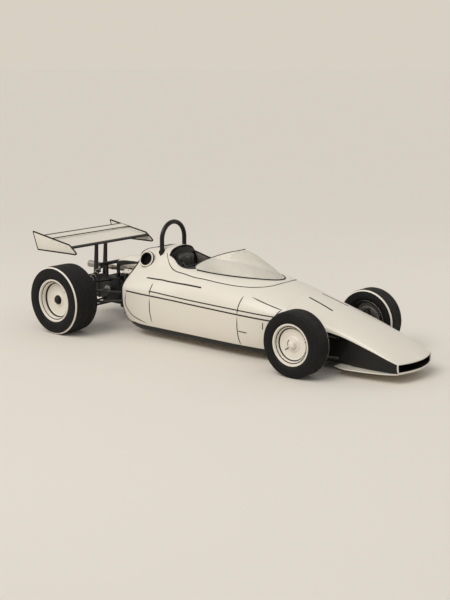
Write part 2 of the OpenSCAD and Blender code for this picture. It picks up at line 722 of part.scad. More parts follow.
pylon_t = 8;
pylon_y = 62;
pylon_shares = [0.44, 0.52, 0.60];
pylon_foot = [230, 292];   // behind the rear axle
module wing_pylons() {
    under = [for (s = pylon_shares) wing_place([-s * wing_chord, wing_z(s, -1, wing_chord) - seat_gap])];
    foot_z = gear_top + 7 + seat_gap;
    color(black) for (side = [LEFT, RIGHT])
        translate([0, side * pylon_y + pylon_t / 2, 0]) rotate([90, 0, 0]) linear_extrude(pylon_t)
            polygon(concat([[rx(-pylon_foot[0]), foot_z]], under, [[rx(-pylon_foot[1]), foot_z]]));
}

// Wheels: hollow tyres on dished rims, each held to its hub by a centre nut.

flange_h = 11;
flange_t = 8;
rim_margin = 12;       // the tyre's bulge past the rim on each side
fit_gap = 0.3;         // between tyre and rim, and rim and hub
shoulder_r = 20;
barrel_t = 8;
disc_face_t = 14;
boss_out = 6;
boss_in = 4;
spigot_r = 34;

function mirror_points(v) = [for (i = [len(v) - 1:-1:0]) [v[i][0], -v[i][1]]];
// One half of a tyre's outline: radius and place from its middle plane, from the bead to the crown.
function tyre_half(d, w, rim_d) =
    let(r0 = rim_d / 2 + flange_h + 2, bead = w / 2 - rim_margin - flange_t - fit_gap, h = w / 2,
        mid = rim_d / 2 + 0.48 * (d - rim_d) / 2, lean = 5)
    concat([[rim_d / 2 + fit_gap, bead]],
        [for (a = [0:22.5:90]) [mid - (mid - r0) * cos(a), bead + (h - bead) * sin(a)]],
        [for (a = [0:15:90]) [d / 2 - 3 - shoulder_r * (1 - sin(a)), h - lean - shoulder_r * (1 - cos(a))]],
        [[d / 2, 0.3 * w]]);
function tyre_hollow(d, w, rim_d) =
    let(bead = w / 2 - rim_margin - flange_t - fit_gap)
    [[d / 2 - 18, 0.25 * w], [d / 2 - 26, w / 2 - 40], [d / 2 - 60, w / 2 - 22],
     [rim_d / 2 + 30, w / 2 - 22], [rim_d / 2 + 12, bead - 16], [rim_d / 2 + fit_gap, bead - 18]];
module tyre(d, w, rim_d, y, x) {
    half = tyre_half(d, w, rim_d);
    hollow = tyre_hollow(d, w, rim_d);
    color(black) on_axle(x, d / 2) translate([0, 0, y]) rotate_extrude()
        polygon(concat(half, mirror_points(half), [for (i = [len(hollow) - 1:-1:0]) [hollow[i][0], -hollow[i][1]]],
            hollow));
}

// A rim's section: flanges and bead seats outside, two steps into the dish, a plain disc and a bored boss.
function rim_outline(rim_d, w, dish) =
    let(r = rim_d / 2, h = w / 2 - rim_margin, face = h - dish, back = face - disc_face_t)
    [[r + flange_h, -h], [r + flange_h, flange_t - h], [r, flange_t - h], [r, h - flange_t],
     [r + flange_h, h - flange_t], [r + flange_h, h], [r - 2, h], [r - 5, h - 5],
     [r - barrel_t - 2, h - 16], [r - barrel_t - 14, h - 18], [r - barrel_t - 16, h - 0.62 * dish],
     [r - barrel_t - 30, face + 4], [r - barrel_t - 40, face],
     [spigot_r + 34, face - 2], [spigot_r + 24, face + boss_out], [spigot_r + fit_gap, face + boss_out],
     [spigot_r + fit_gap, back - boss_in], [spigot_r + 26, back - boss_in], [spigot_r + 32, back],
     [r - barrel_t - 26, back], [r - barrel_t, back - 20], [r - barrel_t, 12 - h], [r - 2, -h]];
module rim(rim_d, w, dish, y, x, z) {
    color(cream) on_axle(x, z) translate([0, 0, y]) rotate_extrude() polygon(rim_outline(rim_d, w, dish));
}

nut_t = 20;
nut_r = 36;
nut_cap_r = 24;
nut_cap_t = 10;
hub_flange_r = 54;
hub_flange_t = 12;
bell_r = 60;
bell_length = 40;
brake_t = 12;
// The hub's faces across the car, from the rim's middle plane y.
function rim_back(w, dish, y) = y + w / 2 - rim_margin - dish - disc_face_t - boss_in - fit_gap;
function rim_front(w, dish, y) = y + w / 2 - rim_margin - dish + boss_out + fit_gap;
function brake_face(w, dish, y) = rim_back(w, dish, y) - hub_flange_t - bell_length - brake_t;
module hub_body(w, dish, y) {
    back = rim_back(w, dish, y);
    front = rim_front(w, dish, y);
    inner = brake_face(w, dish, y);
    translate([0, 0, back - hub_flange_t]) cylinder(h = hub_flange_t, r = hub_flange_r);
    translate([0, 0, back - hub_flange_t]) cylinder(h = front + nut_t - back + hub_flange_t, r = spigot_r - fit_gap);
    translate([0, 0, front]) cylinder(h = nut_t, r = nut_r, $fn = 6);
    translate([0, 0, front + nut_t]) cylinder(h = nut_cap_t, r1 = nut_cap_r, r2 = nut_cap_r - 6);
    translate([0, 0, inner]) cylinder(h = bell_length + brake_t, r = bell_r);
    translate([0, 0, inner]) cylinder(h = brake_t, r = disc_r);
}

front_wheel_y = front_width / 2 - front_tyre_w / 2;
rear_wheel_y = rear_width / 2 - rear_tyre_w / 2;
module front_tyre(side) {
    sided(side) tyre(front_tyre_d, front_tyre_w, front_rim_d, front_wheel_y, front_axle_x);
}
module rear_tyre(side) { sided(side) tyre(rear_tyre_d, rear_tyre_w, rear_rim_d, rear_wheel_y, rear_axle_x); }
module front_rim(side) {
    sided(side) rim(front_rim_d, front_tyre_w, front_dish, front_wheel_y, front_axle_x, front_hub_z);
}
module rear_rim(side) {
    sided(side) rim(rear_rim_d, rear_tyre_w, rear_dish, rear_wheel_y, rear_axle_x, rear_hub_z);
}

front_brake_y = brake_face(front_tyre_w, front_dish, front_wheel_y);
front_stub_end = rim_front(front_tyre_w, front_dish, front_wheel_y) + nut_t / 2;
module front_hub(side) {
    color(silver) sided(side) on_axle(front_axle_x, front_hub_z) difference() {
        hub_body(front_tyre_w, front_dish, front_wheel_y);
        translate([0, 0, front_brake_y - 1])
            cylinder(h = front_stub_end + 1 - front_brake_y + 1, r = stub_r + run_gap);
    }
}

rear_brake_y = brake_face(rear_tyre_w, rear_dish, rear_wheel_y);
upright_gap = 14;      // between a brake disc and its upright
rear_housing_out = rear_brake_y - upright_gap;
rear_housing_length = 76;
rear_housing_in = rear_housing_out - rear_housing_length;
joint_r = 38;
joint_length = 40;
half_shaft_r = 14;
module rear_hub(side) {
    inner = output_y + seat_gap;
    joint_y = rear_housing_in - 14 - joint_length;
    color(silver) sided(side) on_axle(rear_axle_x, rear_hub_z) {
        hub_body(rear_tyre_w, rear_dish, rear_wheel_y);
        translate([0, 0, joint_y + joint_length]) cylinder(h = rear_brake_y - joint_y - joint_length, r = shaft_r);
        translate([0, 0, joint_y]) cylinder(h = joint_length, r = joint_r);
        translate([0, 0, inner]) cylinder(h = joint_y - inner, r = half_shaft_r);
        translate([0, 0, inner]) cylinder(h = joint_length, r = joint_r);
    }
}

// A brake caliper: a block round the disc's rim, behind the axle, on a lug from the bearing housing.
caliper_gap = 5;
caliper_wall = 11;
caliper_half = 42;
caliper_depth = 62;
module caliper(brake_y, housing_out) {
    low = brake_y - caliper_gap - caliper_wall;
    high = brake_y + brake_t + caliper_gap + caliper_wall;
    difference() {
        block([-disc_r - 16, -caliper_half, low], [-disc_r - 16 + caliper_depth, caliper_half, high]);
        translate([0, 0, brake_y - caliper_gap]) cylinder(h = brake_t + 2 * caliper_gap, r = disc_r + 6);
    }
    block([-disc_r - 16 + 8, -20, housing_out - 26], [-20, 20, low + 0.5]);
}

// Front suspension: uprights that turn on their ball joints, wishbones, dampers and the steering rack.

kingpin_y = front_wheel_y - front_tyre_w / 2 + rim_margin + 10;
pin_r = 9;
eye_r = 18;
eye_half = 10;
post_r = 18;
housing_r = 42;
front_housing_out = front_brake_y - upright_gap;
arm_half = 9;
arm_t = 12;
arm_end_r = 13;
module front_upright(side) {
    post_half = kingpin_half - eye_half - 0.5;
    color(silver) sided(side) {
        translate([front_axle_x, kingpin_y, front_hub_z]) {
            translate([0, 0, -post_half]) cylinder(h = 2 * post_half, r = post_r);
            translate([0, 0, -kingpin_half - eye_half - 4])
                cylinder(h = 2 * (kingpin_half + eye_half + 4), r = pin_r);
            translate([0, 0, -arm_t / 2]) {
                translate([0, -arm_half, 0]) cube([steer_arm, 2 * arm_half, arm_t]);
                translate([steer_arm, 0, 0]) cylinder(h = arm_t, r = arm_end_r);
            }
        }
        on_axle(front_axle_x, front_hub_z) {
            translate([0, 0, kingpin_y - 14]) cylinder(h = front_housing_out - kingpin_y + 14, r = housing_r);
            translate([0, 0, front_housing_out - 1]) cylinder(h = front_stub_end - front_housing_out + 1, r = stub_r);
            caliper(front_brake_y, front_housing_out);
        }
    }
}

bush_r = 13;
bush_length = 44;
bush_y = foot_half + seat_gap + bush_r;
wishbone_spread = 180;
upper_bush_z = foot_top - 20;
lower_bush_z = foot_low + 45;
// One wishbone in the left half of the car: an eye on the kingpin and two arms to bushes on the footbox.
module wishbone(eye_z, bush_z) {
    difference() {
        union() {
            translate([front_axle_x, kingpin_y, eye_z]) cylinder(h = 2 * eye_half, r = eye_r, center = true);
            for (d = [-1, 1] * wishbone_spread) {
                bar([front_axle_x, kingpin_y, eye_z], [fx(d), bush_y, bush_z], link_r);
                bush([fx(d), bush_y, bush_z], bush_r, bush_length);
            }
        }
        translate([front_axle_x, kingpin_y, eye_z]) {
            cylinder(h = 200, r = pin_r + run_gap, center = true);
            for (k = [0, 1]) mirror([0, 0, k]) translate([0, 0, eye_half]) cylinder(h = 60, r = post_r + 8);
        }
    }
}
module front_wishbones() {
    color(graphite) for (side = [LEFT, RIGHT]) sided(side) {
        wishbone(front_hub_z + kingpin_half, upper_bush_z);
        wishbone(front_hub_z - kingpin_half, lower_bush_z);
    }
}

// A damper in its spring, between two eyes: the spring is a ribbed sleeve on the damper's body.
eye_ball_r = 12;
damper_r = 15;
spring_r = 27;
spring_turns = 9;
spring_wire = 7;
module damper(p, q) {
    d = q - p;
    n = norm(d);
    length = n - 90;
    pitch = length / spring_turns;
    translate(p) rotate([0, acos(d[2] / n), atan2(d[1], d[0])]) {
        sphere(r = eye_ball_r);
        cylinder(h = n, r = damper_r / 2);
        translate([0, 0, 26]) cylinder(h = n - 60, r = damper_r);
        translate([0, 0, 40]) rotate_extrude() polygon(concat([[0, 0]],
            [for (i = [0:spring_turns - 1]) each [
                [spring_r, i * pitch], [spring_r, i * pitch + spring_wire],
                [spring_r - spring_wire, i * pitch + spring_wire + 1], [spring_r - spring_wire, (i + 1) * pitch - 1]]],
            [[0, length - 1]]));
        translate([0, 0, n]) sphere(r = eye_ball_r);
    }
}

damper_share = 0.30;   // place of the damper's foot along the lower wishbone's front arm
module front_dampers() {
    eye = [front_axle_x, kingpin_y, front_hub_z - kingpin_half];
    inner = [fx(wishbone_spread), bush_y, lower_bush_z];
    foot = eye + damper_share * (inner - eye) + [0, 0, link_r + eye_ball_r + 1.0];
    head = [foot[0], foot_half + seat_gap + eye_ball_r, foot_top - 18];
    color(silver) for (side = [LEFT, RIGHT]) sided(side) damper(foot, head);
}

// Steering rack: a bar that slides in a housing on the footbox, with a track rod to each steering arm.
rack_x = fx(steer_arm);
rack_r = 11;
rack_housing_r = 18;
rack_z = foot_top + seat_gap + rack_housing_r;
rack_half = 225;
rack_housing_half = 150;
track_rod_r = 8;
rod_end_t = 12;
rod_end_gap = 0.5;
module rack_housing() {
    color(graphite) on_axle(rack_x, rack_z) difference() {
        cylinder(h = 2 * rack_housing_half, r = rack_housing_r, center = true);
        cylinder(h = 2 * rack_housing_half + 2, r = rack_r + run_gap, center = true);
    }
}
module steering_rack() {
    end_z = front_hub_z + arm_t / 2 + rod_end_gap + rod_end_t / 2;
    color(silver) {
        on_axle(rack_x, rack_z) cylinder(h = 2 * rack_half, r = rack_r, center = true);
        for (side = [LEFT, RIGHT]) sided(side) {
            difference() {
                bar([rack_x, rack_half - 20, rack_z], [rack_x, kingpin_y, end_z], track_rod_r);
                block([rack_x - 40, kingpin_y - 60, 0], [rack_x + 40, kingpin_y + 60, end_z - rod_end_t / 2]);
            }
            translate([rack_x, kingpin_y, end_z]) cylinder(h = rod_end_t, r = arm_end_r, center = true);
        }
    }
}

// Rear suspension: uprights bored for the stub shafts, lower wishbones, top links, radius rods and dampers.

rear_post_half = 110;
rear_post_x = 22;
rear_post_in = rear_housing_in + 2;
rear_post_out = rear_housing_in + 40;
rear_housing_r = 50;
rear_boss_r = 14;
rear_boss_y = (rear_post_in + rear_post_out) / 2;
rod_rise = 60;         // of the radius rods above and below the axle
rod_bracket = 40;      // reach of their brackets inside the post
rod_bracket_half = 14;
rod_outer_y = rear_post_in - rod_bracket;
module rear_uprights() {
    color(silver) for (side = [LEFT, RIGHT]) sided(side) difference() {
        union() {
            on_axle(rear_axle_x, rear_hub_z) {
                translate([0, 0, rear_housing_in]) cylinder(h = rear_housing_length, r = rear_housing_r);
                caliper(rear_brake_y, rear_housing_out);
            }
            block([rx(-rear_post_x), rear_post_in, rear_hub_z - rear_post_half],
                  [rx(rear_post_x), rear_post_out, rear_hub_z + rear_post_half]);
            for (z = [-rod_rise, rod_rise])
                block([rx(rear_post_x - 2 * rod_bracket_half), rod_outer_y - rod_bracket_half,
                       rear_hub_z + z - rod_bracket_half],
                      [rx(rear_post_x), rear_post_in + 1, rear_hub_z + z + rod_bracket_half]);
        }
        on_axle(rear_axle_x, rear_hub_z) cylinder(h = rear_width, r = shaft_r + run_gap);
    }
}

lower_boss_z = rear_hub_z - rear_post_half - seat_gap - rear_boss_r;
upper_boss_z = rear_hub_z + rear_post_half + seat_gap + rear_boss_r;
damper_x = beam_x;
rod_inner_y = bay_half + link_r + 5;
// A bar cut square where it meets two planes across or along the car.
module cut_bar(p, q, r, low, high) {
    intersection() {
        bar(p - 0.2 * (q - p), q + 0.2 * (q - p), r);
        block(low, high);
    }
}
far = 3000;
module rear_links() {
    side_y = drive_half + seat_gap;
    color(graphite) for (side = [LEFT, RIGHT]) sided(side) {
        // lower wishbone
        bush([rx(-30), rear_boss_y, lower_boss_z], rear_boss_r, 150);
        for (d = [-1, 1]) cut_bar([rx(85 * d), side_y, drive_low + 35], [rx(34 * d - 12), rear_boss_y, lower_boss_z],
            link_r, [-far, side_y, 0], [far, rear_boss_y, far]);
        // top link
        bush([rear_axle_x, rear_boss_y, upper_boss_z], rear_boss_r, 50);
        cut_bar([rear_axle_x, side_y, drive_top - 25], [rear_axle_x, rear_boss_y, upper_boss_z],
            link_r, [-far, side_y, 0], [far, rear_boss_y, far]);
        // radius rods
        for (z = [rear_hub_z + rod_rise, rear_hub_z - rod_rise])
            cut_bar([rx(rear_post_x), rod_outer_y, z], [tub_rear_x, rod_inner_y, 0.6 * z + 130], link_r + 1,
                [rx(rear_post_x) + seat_gap, 0, 0], [tub_rear_x - seat_gap, far, far]);
    }
}

module rear_dampers() {
    foot = [damper_x, rear_boss_y - 14, lower_boss_z + rear_boss_r + seat_gap + eye_ball_r];
    head = [damper_x, beam_half - 28, beam_low - seat_gap - eye_ball_r];
    color(silver) for (side = [LEFT, RIGHT]) sided(side) damper(foot, head);
}

tub();
footbox();
engine_cover();
intake_ducts();
cockpit_surround();
nose_cone();
nose_pan();
nose_splitter();
windscreen();
roll_hoop();
firewall();
headrest();
seat();
dashboard();
steering_wheel();
radiator();
engine();
intake_trumpets();
exhaust();
air_scoop();
gearbox();
wing_planes();
wing_end_plates();
wing_pylons();
front_wishbones();
front_dampers();
rack_housing();
steering_rack();
front_upright(LEFT);  // front_upright_left
front_upright(RIGHT);  // front_upright_right
rear_uprights();
rear_links();
rear_dampers();
front_tyre(LEFT);  // front_tyre_left
front_rim(LEFT);  // front_rim_left
front_hub(LEFT);  // front_hub_left
front_tyre(RIGHT);  // front_tyre_right
front_rim(RIGHT);  // front_rim_right
front_hub(RIGHT);  // front_hub_right
rear_tyre(LEFT);  // rear_tyre_left
rear_rim(LEFT);  // rear_rim_left
rear_hub(LEFT);  // rear_hub_left
rear_tyre(RIGHT);  // rear_tyre_right
rear_rim(RIGHT);  // rear_rim_right
rear_hub(RIGHT);  // rear_hub_right
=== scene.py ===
import json
from contextlib import contextmanager
from math import acos, copysign, cos, degrees, exp, pi, radians, sin, sqrt
import bmesh
import bpy
from mathutils import Matrix, Vector

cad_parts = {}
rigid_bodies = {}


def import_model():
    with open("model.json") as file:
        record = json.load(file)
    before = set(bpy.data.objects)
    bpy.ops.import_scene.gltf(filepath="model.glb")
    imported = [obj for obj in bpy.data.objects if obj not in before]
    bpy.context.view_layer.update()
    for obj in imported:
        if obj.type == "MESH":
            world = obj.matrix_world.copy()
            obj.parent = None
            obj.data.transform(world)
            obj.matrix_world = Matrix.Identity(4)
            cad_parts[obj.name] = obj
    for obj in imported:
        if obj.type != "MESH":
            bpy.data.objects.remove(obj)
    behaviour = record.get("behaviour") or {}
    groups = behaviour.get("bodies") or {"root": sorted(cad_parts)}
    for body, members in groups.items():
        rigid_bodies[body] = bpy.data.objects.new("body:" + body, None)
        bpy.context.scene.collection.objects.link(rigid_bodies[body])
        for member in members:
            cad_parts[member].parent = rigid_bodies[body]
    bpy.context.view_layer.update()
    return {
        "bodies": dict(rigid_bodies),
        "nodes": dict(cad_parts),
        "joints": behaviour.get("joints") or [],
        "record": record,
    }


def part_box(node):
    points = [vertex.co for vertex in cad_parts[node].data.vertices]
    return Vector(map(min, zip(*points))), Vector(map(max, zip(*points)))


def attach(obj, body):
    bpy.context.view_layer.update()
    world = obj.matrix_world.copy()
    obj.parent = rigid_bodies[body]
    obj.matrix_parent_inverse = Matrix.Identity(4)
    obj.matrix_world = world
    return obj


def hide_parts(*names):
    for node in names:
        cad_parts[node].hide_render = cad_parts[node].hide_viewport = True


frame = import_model()
nodes = frame["nodes"]
scene = bpy.context.scene
left, right = 1, -1


def middle(node):
    low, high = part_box(node)
    return (low + high) / 2


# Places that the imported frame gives
rearAxle = middle("rear_tyre_left").x
frontAxle = middle("front_tyre_left").x
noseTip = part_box("nose_cone")[1].x
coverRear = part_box("engine_cover")[0].x
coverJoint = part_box("cockpit_surround")[0].x
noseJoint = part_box("nose_cone")[0].x
print("frame loaded:", len(nodes), "nodes")


# Node helpers

def addNode(tree, kind, links=None, **settings):
    node = tree.nodes.new(kind)
    for key, value in settings.items():
        setattr(node, key, value)
    for socket, source in (links or {}).items():
        target = node.inputs[socket]
        if isinstance(source, bpy.types.NodeSocket):
            tree.links.new(source, target)
        else:
            target.default_value = source
    return node


def maths(tree, operation, a, b=0.0):
    return addNode(tree, "ShaderNodeMath", {0: a, 1: b}, operation=operation).outputs[0]


def rgb(red, green, blue):
    return (red, green, blue, 1)


# Camera and light

cameraView = {"place": (6.0985, -7.420, 2.466), "aim": (-0.0138, 0, 0.3713), "lens": 64.78}
stageLook = {
    "backdrop": (0.684, 0.629, 0.549), "floor": (0.735, 0.677, 0.593), "sky": (0.95, 0.97, 1.0),
    "ambient": 0.55, "sun": 1.55, "sunAngle": 38, "sunTurn": (38, 14, -28), "sunColour": (1.0, 0.975, 0.94),
}
softboxes = [  # place, aim, width, depth, watts
    ((1.5, -5.0, 4.2), (0, 0, 0.4), 5.0, 1.6, 32),
    ((-4.6, -2.5, 3.4), (-1.2, 0, 0.4), 2.4, 2.4, 18),
    ((3.5, 5.0, 3.6), (0.6, 0, 0.4), 4.0, 1.6, 22),
]


def linked(name, data):
    obj = bpy.data.objects.new(name, data)
    scene.collection.objects.link(obj)
    return obj


def aimed(obj, place, aim):
    obj.location = place
    obj.rotation_euler = (Vector(aim) - Vector(place)).to_track_quat("-Z", "Y").to_euler()


def setCamera():
    data = bpy.data.cameras.new("photoCamera")
    data.lens = cameraView["lens"]
    data.sensor_width = 36
    data.clip_end = 1200
    scene.camera = linked("photoCamera", data)
    aimed(scene.camera, cameraView["place"], cameraView["aim"])


def setLight():
    scene.view_settings.view_transform = "Standard"
    world = bpy.data.worlds.new("studio")
    scene.world = world
    world.use_nodes = True
    tree = world.node_tree
    tree.nodes.clear()
    seen = addNode(tree, "ShaderNodeBackground", {"Color": rgb(*stageLook["backdrop"])})
    lit = addNode(tree, "ShaderNodeBackground",
                  {"Color": rgb(*stageLook["sky"]), "Strength": stageLook["ambient"]})
    rays = addNode(tree, "ShaderNodeLightPath").outputs
    direct = maths(tree, "MAXIMUM", rays["Is Camera Ray"], rays["Is Glossy Ray"])
    direct = maths(tree, "MAXIMUM", direct, rays["Is Transmission Ray"])
    mix = addNode(tree, "ShaderNodeMixShader", {0: direct, 1: lit.outputs[0], 2: seen.outputs[0]})
    addNode(tree, "ShaderNodeOutputWorld", {"Surface": mix.outputs[0]})
    sun = bpy.data.lights.new("skyPanel", "SUN")
    sun.energy = stageLook["sun"]
    sun.angle = radians(stageLook["sunAngle"])
    sun.color = stageLook["sunColour"]
    linked("skyPanel", sun).rotation_euler = [radians(turn) for turn in stageLook["sunTurn"]]
    for number, (place, aim, width, depth, watts) in enumerate(softboxes):
        lamp = bpy.data.lights.new(f"softbox{number}", "AREA")
        lamp.shape = "RECTANGLE"
        lamp.size = width
        lamp.size_y = depth
        lamp.energy = watts
        aimed(linked(lamp.name, lamp), place, aim)


setCamera()
setLight()
print("camera and light set")


# Finishes

def newGroup(name, inputs, outputs):
    tree = bpy.data.node_groups.new(name, "ShaderNodeTree")
    for label, kind, value in inputs:
        tree.interface.new_socket(label, in_out="INPUT", socket_type=kind).default_value = value
    for label, kind in outputs:
        tree.interface.new_socket(label, in_out="OUTPUT", socket_type=kind)
    return tree, tree.nodes.new("NodeGroupInput").outputs, tree.nodes.new("NodeGroupOutput")


def mapped(tree, value, low, high, start=0.0, end=1.0):
    return addNode(tree, "ShaderNodeMapRange", {0: value, 1: low, 2: high, 3: start, 4: end}).outputs[0]


def blended(tree, factor, a, b, way="MIX"):
    node = addNode(tree, "ShaderNodeMix", {"Factor": factor}, data_type="RGBA", blend_type=way)
    for socket, source in ((node.inputs[6], a), (node.inputs[7], b)):
        if isinstance(source, bpy.types.NodeSocket):
            tree.links.new(source, socket)
        else:
            socket.default_value = source
    return node.outputs[2]


def objectPlace(tree):
    return addNode(tree, "ShaderNodeTexCoord").outputs["Object"]


def noise(tree, vector, scale, detail=4.0):
    return addNode(tree, "ShaderNodeTexNoise",
                   {"Vector": vector, "Scale": scale, "Detail": detail}).outputs["Fac"]


colourSocket, floatSocket = "NodeSocketColor", "NodeSocketFloat"


def makeWeather():
    # mottled colour, small chips and road dust that settles low on the car
    tree, given, out = newGroup("weather", [
        ("Colour", colourSocket, (0.8, 0.8, 0.8, 1)), ("Worn", colourSocket, (0.5, 0.5, 0.5, 1)),
        ("Dust", colourSocket, (0.42, 0.36, 0.28, 1)), ("Patch Scale", floatSocket, 5.0),
        ("Fine Scale", floatSocket, 90.0), ("Wear", floatSocket, 0.3), ("Dust Amount", floatSocket, 0.0),
        ("Dust Top", floatSocket, 0.30), ("Smooth", floatSocket, 0.2), ("Rough", floatSocket, 0.4)],
        [("Colour", colourSocket), ("Roughness", floatSocket), ("Height", floatSocket)])
    place = objectPlace(tree)
    patch = noise(tree, place, given["Patch Scale"], 6.0)
    fine = noise(tree, place, given["Fine Scale"], 3.0)
    height = addNode(tree, "ShaderNodeSeparateXYZ", {0: place}).outputs["Z"]
    soft = mapped(tree, patch, 0.30, 0.70)
    mottled = blended(tree, maths(tree, "MULTIPLY", soft, 0.16), given["Colour"], given["Worn"])
    chips = maths(tree, "MULTIPLY", mapped(tree, fine, 0.66, 0.72), mapped(tree, patch, 0.48, 0.62))
    worn = blended(tree, maths(tree, "MULTIPLY", chips, given["Wear"]), mottled, given["Worn"])
    low = addNode(tree, "ShaderNodeMapRange", {0: height, 1: given["Dust Top"], 2: 0.0, 3: 0.0, 4: 1.0})
    settled = maths(tree, "MULTIPLY", low.outputs[0], mapped(tree, patch, 0.25, 0.75, 0.35, 1.0))
    dusty = maths(tree, "MULTIPLY", settled, given["Dust Amount"])
    tree.links.new(blended(tree, dusty, worn, given["Dust"]), out.inputs["Colour"])
    base = addNode(tree, "ShaderNodeMapRange",
                   {0: soft, 1: 0.0, 2: 1.0, 3: given["Smooth"], 4: given["Rough"]}).outputs[0]
    tree.links.new(maths(tree, "ADD", base, maths(tree, "MULTIPLY", dusty, 0.35)), out.inputs["Roughness"])
    tree.links.new(maths(tree, "ADD", fine, maths(tree, "MULTIPLY", chips, -0.8)), out.inputs["Height"])
    return tree


def makeGrain():
    # pebbled hide: rounded cells with fine creases between them
    tree, given, out = newGroup("grain", [("Scale", floatSocket, 600.0)],
                                [("Height", floatSocket), ("Mask", floatSocket)])
    place = objectPlace(tree)
    cells = addNode(tree, "ShaderNodeTexVoronoi", {"Vector": place, "Scale": given["Scale"]})
    folds = noise(tree, place, 40.0, 5.0)
    tree.links.new(maths(tree, "ADD", maths(tree, "MULTIPLY", cells.outputs["Distance"], -0.7), folds),
                   out.inputs["Height"])
    tree.links.new(mapped(tree, folds, 0.35, 0.65), out.inputs["Mask"])
    return tree


def makeRings():
    # turned rings about an axle along Y, from the distance to its centre
    tree, given, out = newGroup("rings",
                                [("Vector", "NodeSocketVector", (0, 0, 0)),
                                 ("Pitch", floatSocket, 0.004)],
                                [("Height", floatSocket), ("Radius", floatSocket)])
    parts = addNode(tree, "ShaderNodeSeparateXYZ", {0: given["Vector"]})
    flat = addNode(tree, "ShaderNodeCombineXYZ", {0: parts.outputs["X"], 2: parts.outputs["Z"]})
    radius = addNode(tree, "ShaderNodeVectorMath", {0: flat.outputs[0]},
                     operation="LENGTH").outputs["Value"]
    turns = maths(tree, "MULTIPLY", maths(tree, "DIVIDE", radius, given["Pitch"]), 2 * pi)
    tree.links.new(maths(tree, "SINE", turns), out.inputs["Height"])
    tree.links.new(radius, out.inputs["Radius"])
    return tree


weatherTree, grainTree, ringTree = makeWeather(), makeGrain(), makeRings()


slotOf = {}


def startFinish(name, slot, look, bump=0.08, depth=0.0006, shader=None):
    material = bpy.data.materials.new(name)
    slotOf[name] = slot
    material.use_nodes = True
    tree = material.node_tree
    principled = tree.nodes["Principled BSDF"]
    weather = addNode(tree, "ShaderNodeGroup", node_tree=weatherTree)
    for label, value in look.items():
        weather.inputs[label].default_value = value
    relief = addNode(tree, "ShaderNodeBump", {"Strength": bump, "Distance": depth,
                                             "Height": weather.outputs["Height"]})
    tree.links.new(weather.outputs["Colour"], principled.inputs["Base Color"])
    tree.links.new(weather.outputs["Roughness"], principled.inputs["Roughness"])
    tree.links.new(relief.outputs["Normal"], principled.inputs["Normal"])
    for label, value in (shader or {}).items():
        principled.inputs[label].default_value = value
    return material, tree, principled, weather, relief


creamPaint = startFinish("creamPaint", "body_paint", {
    "Colour": rgb(0.705, 0.652, 0.556), "Worn": rgb(0.63, 0.575, 0.475), "Dust": rgb(0.40, 0.34, 0.26),
    "Patch Scale": 2.6, "Fine Scale": 210, "Wear": 0.10, "Dust Amount": 0.20, "Dust Top": 0.24,
    "Smooth": 0.36, "Rough": 0.48}, 0.03, 0.0004, {"Coat Weight": 0.28, "Coat Roughness": 0.13})[0]
rimPaintAndHighlight = startFinish("rimPaintAndHighlight", "rim_paint", {
    "Colour": rgb(0.735, 0.680, 0.580), "Worn": rgb(0.55, 0.50, 0.42), "Patch Scale": 9,
    "Fine Scale": 240, "Wear": 0.25, "Smooth": 0.30, "Rough": 0.46}, 0.05, 0.0004)[0]
# black paint, also used for painted shade: the sill, nose pan, footbox, scoop flanks, wing leading edge and
# the wheels' insides
blackPaintAndShade = startFinish("blackPaintAndShade", "black_paint", {
    "Colour": rgb(0.004, 0.004, 0.0045), "Worn": rgb(0.022, 0.021, 0.020),
    "Dust": rgb(0.09, 0.08, 0.065), "Patch Scale": 4, "Fine Scale": 160, "Wear": 0.35,
    "Dust Amount": 0.14, "Smooth": 0.30, "Rough": 0.46}, 0.06, 0.0005, {"Specular IOR Level": 0.32})[0]
blackTrim = startFinish("blackTrim", "black_plastic", {
    "Colour": rgb(0.005, 0.005, 0.005), "Worn": rgb(0.018, 0.017, 0.016), "Patch Scale": 12,
    "Fine Scale": 300, "Wear": 0.2, "Dust Amount": 0.06, "Smooth": 0.50, "Rough": 0.68},
    0.12, 0.0003, {"Specular IOR Level": 0.25})[0]
castMetal = startFinish("castMetal", "casting", {
    "Colour": rgb(0.022, 0.022, 0.023), "Worn": rgb(0.090, 0.086, 0.080),
    "Dust": rgb(0.06, 0.052, 0.042), "Patch Scale": 7, "Fine Scale": 420, "Wear": 0.5,
    "Dust Amount": 0.30, "Smooth": 0.42, "Rough": 0.62}, 0.35, 0.0006, {"Metallic": 0.55})[0]
bareSteel = startFinish("bareSteel", "steel", {
    "Colour": rgb(0.46, 0.455, 0.445), "Worn": rgb(0.24, 0.22, 0.20), "Patch Scale": 11,
    "Fine Scale": 380, "Wear": 0.5, "Dust Amount": 0.15, "Smooth": 0.24, "Rough": 0.42},
    0.08, 0.0003, {"Metallic": 0.95})[0]
darkSteel = startFinish("darkSteel", "steel", {
    "Colour": rgb(0.014, 0.014, 0.015), "Worn": rgb(0.10, 0.095, 0.09), "Patch Scale": 10,
    "Fine Scale": 300, "Wear": 0.45, "Dust Amount": 0.25, "Smooth": 0.30, "Rough": 0.48},
    0.10, 0.0004, {"Metallic": 0.4})[0]
brightAlloy = startFinish("brightAlloy", "steel", {
    "Colour": rgb(0.62, 0.61, 0.59), "Worn": rgb(0.38, 0.37, 0.35), "Patch Scale": 16, "Fine Scale": 500,
    "Wear": 0.4, "Dust Amount": 0.12, "Smooth": 0.22, "Rough": 0.38}, 0.10, 0.0003, {"Metallic": 1.0})[0]


